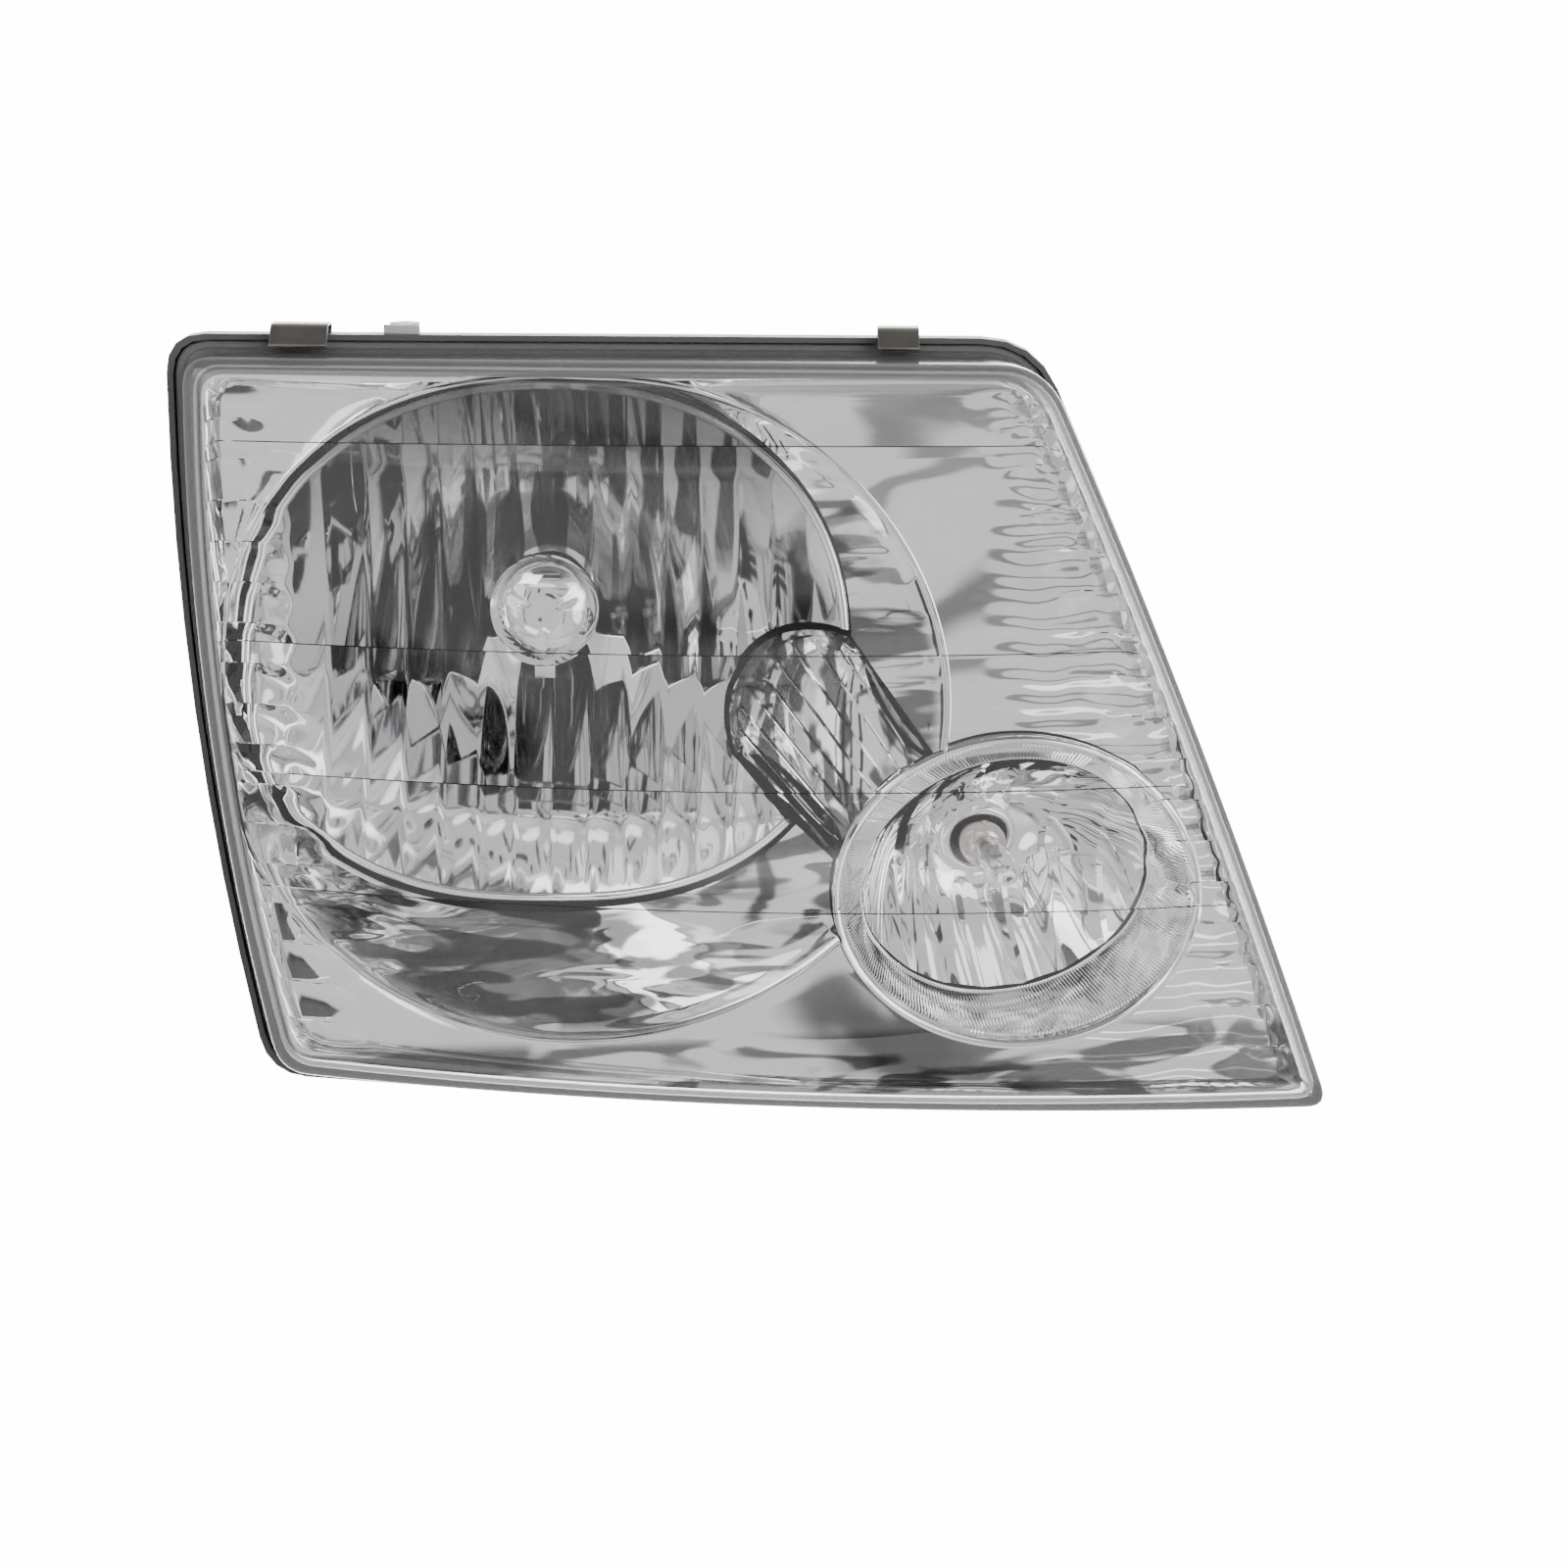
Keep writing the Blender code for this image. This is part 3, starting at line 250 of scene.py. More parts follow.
def metallised(name="metallised", low=0.02, high=0.06, wave=MIRROR_WAVE, dark=(0.84, 0.83, 0.845)):
    """Vacuum-metallised plastic: a mirror with the faint waviness of a moulding."""
    made, tree, shader = metal_coat(name, low, high)
    mottled(tree, shader, 35.0, dark, tuple(c + 0.05 for c in dark))
    wavy(tree, shader, wave)
    return made


def own_axes(tree):
    """The object's own coordinates, as X, Y and Z."""
    return add_node(tree, "ShaderNodeSeparateXYZ", {"Vector": own_space(tree)}).outputs


def reflector_metal():
    """Metallised bowl. Its darkening above and beside the bulb stands in for dark reflections."""
    made, tree, shader = metal_coat("metallised_reflector", 0.015, 0.04)
    wavy(tree, shader, REFLECTOR_WAVE)
    axes = own_axes(tree)
    high = height_mask(tree, axes["Z"], 48.0, 108.0)
    above = height_mask(tree, axes["Z"], 22.0, 60.0)
    offset = math_node(tree, "SUBTRACT", axes["X"], place(BULB_AXIS).x)
    beside = math_node(tree, "ABSOLUTE", offset)
    near = smooth_mask(tree, beside, 0.060, 0.020)
    streaks = smooth_mask(tree, stretched_noise(tree, (1.0, 0.3, 0.07), 150.0, 1.5, 0.4), 0.49, 0.55)
    columns = product(tree, product(tree, near, above), streaks)
    both = math_node(tree, "MAXIMUM", product(tree, high, 0.86), product(tree, columns, 0.95))
    darkened(tree, shader, both, 0.90, 0.03)
    return made


def skirt_metal():
    """Metallised ribs. Their dark patches stand in for dark reflections."""
    made, tree, shader = metal_coat("metallised_skirt")
    wavy(tree, shader, MIRROR_WAVE)
    patches = smooth_mask(tree, stretched_noise(tree, (0.9, 0.9, 0.5), 110.0, 1.5, 0.8), 0.46, 0.54)
    darkened(tree, shader, patches, 0.90, 0.10)
    return made


def rippled_metal():
    """Metallised bezel: level ripples outboard, flowing ones in the cone round the reflector.

    The dark streaks of the cone and floor stand in for dark reflections.
    """
    made, tree, shader = metal_coat("metallised_bezel")
    axes = own_axes(tree)
    feeds = {"Vector": own_space(tree), "Scale": 38.0, "Distortion": 3.0, "Detail": 1.0}
    wave = add_node(tree, "ShaderNodeTexWave", feeds, bands_direction="Z").outputs["Fac"]
    outboard = smooth_mask(tree, axes["X"], place((72.0, 0.0, 0.0)).x, place((92.0, 0.0, 0.0)).x)

    centre = place((OVAL_CENTRE[0], 0.0, OVAL_CENTRE[1]))
    shrink = (1.0 / (OVAL_HALF[0] * MM), 0.0, 1.0 / (OVAL_HALF[1] * MM))
    offset = vector_math(tree, "SUBTRACT", own_space(tree), centre)["Vector"]
    shrunk = vector_math(tree, "MULTIPLY", offset, shrink)["Vector"]
    reach = vector_math(tree, "LENGTH", shrunk)["Value"]
    in_cone = smooth_mask(tree, reach, 1.0, 0.95)
    on_floor = height_mask(tree, axes["Z"], -91.0, -96.0)

    flow = stretched_noise(tree, (0.45, 0.8, 1.9), 34.0, 1.5, 0.9)
    flowing = product(tree, product(tree, flow, in_cone), 4.0)
    ripples = math_node(tree, "ADD", product(tree, wave, outboard), flowing)
    bump(tree, shader, math_node(tree, "ADD", ripples, noise(tree, 30.0, 1.0)), 0.6, 0.00045)
    streaks = smooth_mask(tree, stretched_noise(tree, (0.30, 0.8, 1.4), 60.0, 1.5, 1.2), 0.46, 0.54)
    streaked = product(tree, streaks, math_node(tree, "MAXIMUM", in_cone, on_floor))
    darkened(tree, shader, streaked, 0.90, 0.15)
    return made


def clear(name, index, scale, dark, light, transmission=1.0):
    """Polished clear plastic or glass."""
    made, tree, shader = new_material(name)
    shader.inputs["Transmission Weight"].default_value = transmission
    shader.inputs["IOR"].default_value = index
    shader.inputs["Roughness"].default_value = 0.0
    mottled(tree, shader, scale, dark, light)
    return made


def lens_edge_material():
    """The lens's moulded edge: the same plastic, seen through its thick, unpolished side."""
    made = clear("clear_lens_edge", 1.50, 20.0, (0.50, 0.50, 0.51), (0.62, 0.61, 0.62), 0.85)
    tree = made.node_tree
    uneven_gloss(tree, tree.nodes["Principled BSDF"], 60.0, 0.08, 0.20)
    return made


def moulded(name, dark, light, roughness, grain=900.0, depth=0.00008):
    """Moulded plastic or rubber: fine grain, faint mottling, uneven gloss."""
    made, tree, shader = new_material(name)
    mottled(tree, shader, 26.0, dark, light)
    uneven_gloss(tree, shader, 140.0, roughness - 0.08, roughness + 0.1)
    bump(tree, shader, noise(tree, grain, 4.0), 0.5, depth)
    return made


def worn_metal(name, dark, light, roughness, stretch=(1.0, 1.0, 1.0)):
    """Rolled or drawn metal with a directional grain."""
    made, tree, shader = new_material(name)
    shader.inputs["Metallic"].default_value = 1.0
    mottled(tree, shader, 90.0, dark, light)
    grain = stretched_noise(tree, stretch, 160.0, 5.0)
    tree.links.new(ramp(tree, grain, roughness - 0.1, roughness + 0.12), shader.inputs["Roughness"])
    bump(tree, shader, grain, 0.3, 0.00005)
    return made


MIRROR = metallised()
BEZEL_METAL = rippled_metal()
MIRROR_REFLECTOR = reflector_metal()
MIRROR_BOWL = metallised("metallised_bowl", 0.015, 0.04, REFLECTOR_WAVE, (0.86, 0.855, 0.865))
SKIRT_METAL = skirt_metal()
SATIN_METAL = metallised("metallised_satin", 0.32, 0.45, MIRROR_WAVE, (0.72, 0.72, 0.73))
CHROME = metallised("chrome_shield", 0.03, 0.09, 0.00005, (0.78, 0.78, 0.79))
CLEAR = clear("clear_lens", 1.50, 8.0, (0.985, 0.980, 0.985), (0.995, 0.99, 0.995))
CLEAR_EDGE = lens_edge_material()
GLASS = clear("bulb_glass_clear", 1.47, 60.0, (0.97, 0.97, 0.98), (1.0, 1.0, 1.0))
BLACK = moulded("black_plastic", (0.045, 0.046, 0.049), (0.075, 0.076, 0.080), 0.42)
GREY = moulded("grey_plastic", (0.16, 0.16, 0.17), (0.21, 0.21, 0.22), 0.48)
TAB_GREY = moulded("light_grey_plastic", (0.44, 0.45, 0.45), (0.52, 0.53, 0.53), 0.45)
NYLON = moulded("white_nylon", (0.66, 0.64, 0.58), (0.76, 0.74, 0.68), 0.40)
RUBBER = moulded("black_rubber", (0.018, 0.018, 0.019), (0.032, 0.032, 0.033), 0.72, 500.0, 0.00015)
SEALANT = moulded("sealant", (0.05, 0.05, 0.055), (0.16, 0.16, 0.17), 0.55, 320.0, 0.0006)
SILICONE = moulded("orange_silicone", (0.45, 0.12, 0.035), (0.56, 0.17, 0.05), 0.5)
SPRING = worn_metal("spring_steel", (0.17, 0.16, 0.145), (0.34, 0.325, 0.30), 0.36, (0.25, 1.0, 4.0))
ZINC = worn_metal("zinc_steel", (0.52, 0.53, 0.55), (0.66, 0.67, 0.69), 0.36)
BRASS = worn_metal("brass_blade", (0.66, 0.48, 0.20), (0.80, 0.62, 0.30), 0.28)
NICKEL = worn_metal("nickel_cap", (0.60, 0.57, 0.53), (0.76, 0.73, 0.69), 0.22)
TUNGSTEN = worn_metal("tungsten", (0.22, 0.21, 0.20), (0.36, 0.35, 0.34), 0.4)
# Near-black painted shade, used in the bulb's hole, in the signal collar's hole and inside the shield's rim
PAINTED_SHADE_BLACK = moulded("painted_shade_inside", (0.012, 0.012, 0.013), (0.022, 0.022, 0.024), 0.6)

CAD_FINISHES = {
    BLACK: ("housing", "adjuster_case", "adjuster_cover"),
    GREY: ("bulb_retaining_ring", "bulb_base", "signal_socket"),
    RUBBER: ("vent_cap_upper", "vent_cap_lower"),
    ZINC: ("adjuster_screw_lower", "adjuster_screw_upper", "pivot_stud_inner", "pivot_stud_outer",
           "adjuster_stem"),
    NYLON: ("pivot_socket_inner", "pivot_socket_outer", "adjuster_socket", "drive_shaft", "driven_gear"),
    SILICONE: ("bulb_seal", "signal_socket_seal"),
    BRASS: ("bulb_terminal_1", "bulb_terminal_2", "bulb_terminal_3", "signal_terminal_left",
            "signal_terminal_right"),
}


def finish_cad_nodes():
    """Gives the CAD nodes that stay in view their materials and softened edges."""
    for material, nodes in CAD_FINISHES.items():
        for node in nodes:
            target = frame["nodes"][node]
            target.data.materials.clear()
            target.data.materials.append(material)
            soften(target, 0.5, 2, 40.0)


# ---------------------------------------------------------------- mesh tools

def add_piece(name, points, faces, material, body, sharp=35.0, replaces=(), slot=None):
    """One named piece from design-frame points, riding on a body."""
    mesh = bpy.data.meshes.new(name)
    mesh.from_pydata([place(p) for p in points], [], faces)
    shape = bmesh.new()
    shape.from_mesh(mesh)
    bmesh.ops.remove_doubles(shape, verts=shape.verts, dist=1e-7)
    bmesh.ops.recalc_face_normals(shape, faces=shape.faces)
    shape.to_mesh(mesh)
    shape.free()
    mesh.materials.append(material)
    mesh.shade_smooth()
    mesh.set_sharp_from_angle(angle=radians(sharp))
    made = bpy.data.objects.new(name, mesh)
    bpy.context.scene.collection.objects.link(made)
    if body:
        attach(made, body)
    if replaces:
        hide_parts(*replaces)
    return made


def loft(rings, closed=False, caps=True):
    """Points and faces that join equal rings."""
    count = len(rings[0])
    points = [p for ring in rings for p in ring]
    faces = []
    for i in range(len(rings) if closed else len(rings) - 1):
        a = i * count
        b = (i + 1) % len(rings) * count
        for k in range(count):
            n = (k + 1) % count
            faces.append((a + k, a + n, b + n, b + k))
    if not closed and caps:
        faces.append(tuple(range(count)))
        faces.append(tuple(range((len(rings) - 1) * count, len(rings) * count)))
    return points, faces


def joined(*shapes):
    """Several shapes' points and faces as one."""
    points, faces = [], []
    for more_points, more_faces in shapes:
        start = len(points)
        points.extend(more_points)
        faces.extend(tuple(i + start for i in face) for face in more_faces)
    return points, faces


def across(axis):
    """Two unit vectors at right angles to an axis, the first of them level."""
    level = axis.cross(UP)
    if level.length < 0.01:
        level = Vector((1, 0, 0))
    level.normalize()
    return level, level.cross(axis).normalized()


def turned(profile, centre, axis, steps=96, closed=True):
    """A solid turned round an axis from (radius, distance along the axis) points."""
    first, second = across(axis)
    rings = []
    for radius, along in profile:
        rings.append([
            Vector(centre) + axis * along
            + (first * cos(tau * k / steps) + second * sin(tau * k / steps)) * radius
            for k in range(steps)
        ])
    return loft(rings, closed)


def rounded(profile, radius, steps=4, closed=True):
    """A (radius, along) profile with its corners rounded off."""
    count = len(profile)
    made = []
    for i, corner in enumerate(profile):
        if not closed and i in (0, count - 1):
            made.append(corner)
            continue
        p = Vector(corner)
        a = Vector(profile[i - 1]) - p
        b = Vector(profile[(i + 1) % count]) - p
        reach = min(radius, a.length * 0.45, b.length * 0.45)
        start = p + a.normalized() * reach
        end = p + b.normalized() * reach
        for k in range(steps + 1):
            t = k / steps
            made.append(tuple(start.lerp(p, t).lerp(p.lerp(end, t), t)))
    return made


def bar(start, end, width, thickness, side):
    """A flat bar between two points; side gives the direction of its width."""
    along = (Vector(end) - Vector(start)).normalized()
    side = (side - along * side.dot(along)).normalized()
    face = along.cross(side)
    corners = ((-1, -1), (1, -1), (1, 1), (-1, 1))
    rings = [
        [Vector(p) + side * (a * width / 2) + face * (b * thickness / 2) for a, b in corners]
        for p in (start, end)
    ]
    return loft(rings)


def tube(path, radius, sides=12, closed=False):
    """A round tube along a path of points."""
    path = [Vector(p) for p in path]
    count = len(path)
    rings = []
    reference = None
    for i, p in enumerate(path):
        after = path[(i + 1) % count] if closed or i < count - 1 else p
        before = path[i - 1] if closed or i > 0 else p
        along = (after - before).normalized()
        if reference is None:
            reference = across(along)[0]
        reference = (reference - along * reference.dot(along)).normalized()
        other = along.cross(reference)
        rings.append([p + (reference * cos(tau * k / sides) + other * sin(tau * k / sides)) * radius
                      for k in range(sides)])
    return loft(rings, closed)


def spoke(angle):
    """Unit vector across the main bulb's axis."""
    return Vector((cos(angle), 0.0, sin(angle)))


def soften(target, width, segments=2, limit=30.0):
    """A bevel in millimetres on a piece's sharp edges."""
    step = target.modifiers.new("soft_edges", "BEVEL")
    step.width = width * MM
    step.segments = segments
    step.limit_method = "ANGLE"
    step.angle_limit = radians(limit)
    return target


def cut(target, shape):
    """Cuts a shape out of a piece and keeps the result as the piece's mesh."""
    tool = add_piece("tool", *shape, target.data.materials[0], None)
    step = target.modifiers.new("combine", "BOOLEAN")
    step.operation = "DIFFERENCE"
    step.object = tool
    bpy.context.view_layer.update()
    result = bpy.data.meshes.new_from_object(target.evaluated_get(bpy.context.evaluated_depsgraph_get()))
    target.modifiers.clear()
    target.data = result
    target.data.set_sharp_from_angle(angle=radians(35))
    bpy.data.objects.remove(tool)


# ---------------------------------------------------------------- driving surfaces

def flange_y(x, z):
    return FLANGE_SLOPE[0] * x + FLANGE_SLOPE[1] * z


def lens_height(x, z):
    """How far the lens's face stands in front of the joint plane."""
    u = (x + 185.0) / 370.0
    w = z / 125.0
    return 20.0 + 18.0 * u + 14.0 * (1.0 - (2.0 * u - 1.0) ** 2) * (1.0 - w * w)


def face_y(x, z):
    return flange_y(x, z) - lens_height(x, z)


def behind_face(amount):
    """A depth function: the lens's face moved rearward by an amount."""
    return lambda x, z: face_y(x, z) + amount


def bowl_y(x, z):
    """Depth of the main reflector's plain paraboloid."""
    return VERTEX_Y - ((x - BULB_X) ** 2 + (z - BULB_Z) ** 2) / (4.0 * FOCAL_LENGTH)


def outline_side(i, grow, shares, tuck=NO_TUCK):
    """Points on side i of the outline, from the middle of one corner's arc to the middle of the next."""
    count = len(CORNERS)
    normals = []
    for k in range(count):
        d = Vector(CORNERS[(k + 1) % count]) - Vector(CORNERS[k])
        normals.append(Vector((d.y, -d.x)).normalized())
    moves = [grow - t for t in tuck]
    grown = []
    for k in range(count):
        a, b = normals[k - 1], normals[k]
        slant = a.dot(b)
        shift = a * (moves[k - 1] - moves[k] * slant) + b * (moves[k] - moves[k - 1] * slant)
        grown.append(Vector(CORNERS[k]) + shift / (1.0 - slant * slant))

    def side(k, t):
        k %= count
        start, end = grown[k], grown[(k + 1) % count]
        return start.lerp(end, t) + normals[k] * (BULGES[k] * 4.0 * t * (1.0 - t))

    def trim(k, corner):
        reach = max(CORNER_RADII[corner % count] + 0.5 * grow, 3.0)
        return reach / (grown[(k + 1) % count] - grown[k % count]).length

    def arc(corner, t):
        corner %= count
        a = side(corner - 1, 1.0 - trim((corner - 1) % count, corner))
        c = side(corner, trim(corner, corner))
        return a.lerp(grown[corner], t).lerp(grown[corner].lerp(c, t), t)

    fine = 8
    path = [arc(i, 0.5 + 0.5 * k / fine) for k in range(fine)]
    t0, t1 = trim(i, i), 1.0 - trim(i, i + 1)
    path += [side(i, t0 + (t1 - t0) * k / 60) for k in range(60)]
    path += [arc(i + 1, 0.5 * k / fine) for k in range(fine + 1)]
    lengths = [0.0]
    for a, b in zip(path, path[1:]):
        lengths.append(lengths[-1] + (b - a).length)
    points = []
    k = 0
    for share in shares:
        goal = share * lengths[-1]
        while k < len(path) - 2 and lengths[k + 1] < goal:
            k += 1
        span = lengths[k + 1] - lengths[k]
        points.append(path[k].lerp(path[k + 1], (goal - lengths[k]) / span if span else 0.0))
    return points


def even(count):
    return [k / count for k in range(count)]


def outline_loop(grow, columns, rows, tuck=NO_TUCK):
    """The whole outline as (x, z) points: inner side, bottom, outer side and top, with given shares."""
    back_columns = [1.0 - c for c in columns[::-1]]
    back_rows = [1.0 - r for r in rows[::-1]]
    points = []
    for i, shares in enumerate((rows, columns, back_rows, back_columns)):
        points += outline_side(i, grow, shares[:-1], tuck)
    return points


def plain_loop(grow, steps=60, tuck=NO_TUCK):
    """The whole outline with evenly spaced points."""
    shares = even(steps) + [1.0]
    return outline_loop(grow, shares, shares, tuck)


def at_depth(points, depth):
    return [(p.x, depth(p.x, p.y), p.y) for p in points]


def oval_radius(centre, half, power, start, direction):
    """Distance from start along direction to a superellipse round centre."""
    low, high = 0.0, 300.0
    for _ in range(30):
        mid = (low + high) / 2
        x = abs(start[0] + direction[0] * mid - centre[0]) / half[0]
        z = abs(start[1] + direction[1] * mid - centre[1]) / half[1]
        if x ** power + z ** power < 1.0:
            low = mid
        else:
            high = mid
    return low


LEVEL, STEEP = across(SIGNAL_AXIS)


def signal_point(a, b, along):
    """A point at (a, b) across the signal axis and some way along it."""
    return SIGNAL_COLLAR + SIGNAL_AXIS * along + LEVEL * a + STEEP * b


def lip_reach(a, b, clearance):
    """How far along the signal axis the line through (a, b) comes within clearance of the lens."""
    along = 50.0
    for _ in range(8):
        p = signal_point(a, b, along)
        along += p.y - face_y(p.x, p.z) - clearance
    return along


# ---------------------------------------------------------------- lens

FULL_STEPS = (0.092, 0.38, 0.57, 0.74)
MARGIN_CELLS = 17
MARGIN_SHARE = 0.088
LENS_POLISHED_ROWS = 1
LENS_EDGE_ROWS = 22
TAB_ENDS = (-116.4, -104.8)


def lens_rows():
    """Row shares down the lens, doubled at every optical step so that each step is crisp."""
    marks = sorted(set([k / MARGIN_CELLS for k in range(1, MARGIN_CELLS)]) | set(FULL_STEPS))
    rows = [0.0]
    for low, high in zip([0.0] + marks, marks + [1.0]):
        first = low + 0.0009 if low > 0 else 0.0
        last = high - 0.0009 if high < 1 else 1.0
        if low > 0:
            rows.append(first)
        count = max(2, round((last - first) * 110))
        rows += [first + (last - first) * k / count for k in range(1, count + 1)]
    return rows


def lens_columns():
    """Column shares across the lens, closer together in the stepped margins."""
    columns = [MARGIN_SHARE * k / 16 for k in range(17)]
    columns += [MARGIN_SHARE + (1 - 2 * MARGIN_SHARE) * k / 84 for k in range(1, 85)]
    columns += [1 - MARGIN_SHARE + MARGIN_SHARE * k / 16 for k in range(1, 17)]
    return columns


def step_depth(u, v):
    """Thickness that the optical steps add inside the lens at (u, v)."""
    depth = 0.0
    for mark in FULL_STEPS:
        below = (v - mark) * 230.0
        if 0.0 < below < 9.0:
            depth += 0.55 * (1.0 - below / 9.0)
    edge = min(u, 1.0 - u) / MARGIN_SHARE
    if edge < 1.0:
        cell = v * MARGIN_CELLS
        share = cell - floor(cell)
        bulge = 4.0 * share * (1.0 - share)
        reach = 0.55 + 0.45 * bulge
        if edge < reach:
            depth += (1.15 * (1.0 - share) + 0.35 * bulge) * (1.0 - (edge / reach) ** 3)
    return depth


def coons(grow, columns, rows):
    """A grid of (x, z) points inside the outline, row by row from the top."""
    left = outline_side(0, grow, rows)
    bottom = outline_side(1, grow, columns)
    right = outline_side(2, grow, [1.0 - r for r in rows[::-1]])[::-1]
    top = outline_side(3, grow, [1.0 - c for c in columns[::-1]])[::-1]
    a, b, c, d = top[0], top[-1], bottom[0], bottom[-1]
    grid = []
    for j, v in enumerate(rows):
        row = []
        for i, u in enumerate(columns):
            p = top[i] * (1 - v) + bottom[i] * v + left[j] * (1 - u) + right[j] * u
            p -= a * ((1 - u) * (1 - v)) + b * (u * (1 - v)) + c * ((1 - u) * v) + d * (u * v)
            row.append(p)
        grid.append(row)
    return grid


def grid_faces(rows, columns, start=0):
    faces = []
    for j in range(rows - 1):
        for i in range(columns - 1):
            a = start + j * columns + i
            faces.append((a, a + 1, a + columns + 1, a + columns))
    return faces


def grid_border(tall, wide):
    """Indices round the edge of a grid, in order."""
    border = [j * wide for j in range(tall - 1)]
    border += [(tall - 1) * wide + i for i in range(wide - 1)]
    border += [j * wide + wide - 1 for j in range(tall - 1, 0, -1)]
    return border + list(range(wide - 1, 0, -1))


def lens():
    """Clear lens: smooth outside, optical steps inside, rounded edge, side wall and foot."""
    rows, columns = lens_rows(), lens_columns()
    grid = coons(-6.0, columns, rows)
    outer = [(p.x, face_y(p.x, p.y), p.y) for row in grid for p in row]
    inner = []
    for j, row in enumerate(coons(-6.4, columns, rows)):
        for i, p in enumerate(row):
            fade = min(1.0, 30.0 * min(rows[j], 1 - rows[j]), 60.0 * min(columns[i], 1 - columns[i]))
            extra = step_depth(columns[i], rows[j]) * fade
            inner.append((p.x, face_y(p.x, p.y) + LENS_THICKNESS + extra, p.y))

    def loop(grow, depth):
        return at_depth(outline_loop(grow, columns, rows), depth)

    def flange(grow, offset):
        points = outline_loop(grow, columns, rows, FLANGE_TUCK)
        return [(p.x, flange_y(p.x, p.y) + offset, p.y) for p in points]

    def between(a, b, share):
        return [Vector(p).lerp(Vector(q), share) for p, q in zip(a, b)]

    walls = []
    for k in range(1, 9):
        angle = pi / 2 * k / 8
        walls.append(loop(-6.0 + 6.0 * sin(angle), behind_face(5.5 * (1 - cos(angle)))))
    walls.append(between(walls[-1], flange(1.5, -1.6), 0.5))
    walls += [flange(1.5, -1.6), flange(1.8, -1.2), flange(3.3, -1.2), flange(3.6, -0.9)]
    walls += [flange(3.6, 1.4), flange(3.4, 1.6), flange(-1.2, 1.6)]
    inside = loop(-3.0, behind_face(7.5))
    walls += [between(walls[-1], inside, 0.5), inside]
    for k in range(5):
        angle = pi / 2 * k / 5
        depth = LENS_THICKNESS + 3.5 * (1 - sin(angle))
        walls.append(loop(-3.1 - 3.3 * (1 - cos(angle)), behind_face(depth)))
    wide, tall = len(columns), len(rows)
    border = grid_border(tall, wide)
    points = outer + inner
    faces = grid_faces(tall, wide) + grid_faces(tall, wide, len(outer))
    start = len(points)
    count = len(border)
    for ring in walls:
        points += ring
    chain = [border] + [[start + k * count + i for i in range(count)] for k in range(len(walls))]
    chain += [[b + len(outer) for b in border]]
    for a, b in zip(chain, chain[1:]):
        for i in range(count):
            n = (i + 1) % count
            faces.append((a[i], a[n], b[n], b[i]))
    made = add_piece("lens_shell", points, faces, CLEAR, "housing", 24.0, ("lens",), "clear_lens")
    made.data.materials.append(CLEAR_EDGE)
    polished = len(faces) - count * (len(chain) - 1) + count * LENS_POLISHED_ROWS
    for face in made.data.polygons[polished:polished + count * LENS_EDGE_ROWS]:
        face.material_index = 1


def lens_tab():
    """Small grey tab that stands up between the two clips."""
    low, high = TAB_ENDS
    y = flange_y((low + high) / 2, 127.0)
    corners = rounded(((low, 127.0), (low + 0.6, 130.6), (high - 0.2, 130.6), (high, 127.0)), 1.0, 4)
    rings = [[(x, y + depth, z) for x, z in corners] for depth in (2.3, 5.7)]
    add_piece("housing_tab_cover", *loft(rings), TAB_GREY, "housing", 40.0, (), "grey_plastic")


def seal():
    """Sealant bead squeezed into the channel, uneven where it shows."""
    steps = 110
    rings = []
    for grow, offset, wobble in ((-1.8, 1.9, 0.0), (1.0, 1.9, 0.0), (3.8, 1.9, 0.1), (3.95, 3.0, 0.2),
                                 (3.8, 4.2, 0.1), (-1.8, 4.2, 0.0)):
        ring = []
        for k, p in enumerate(plain_loop(grow, steps, FLANGE_TUCK)):
            lift = wobble * sin(k * 1.7) * sin(k * 0.61)
            ring.append((p.x, flange_y(p.x, p.y) + offset + lift, p.y))
        rings.append(ring)
    add_piece("lens_sealant", *loft(rings, closed=True), SEALANT, "housing", 50.0,
              ("lens_seal",), "black_rubber")


# ---------------------------------------------------------------- bezel

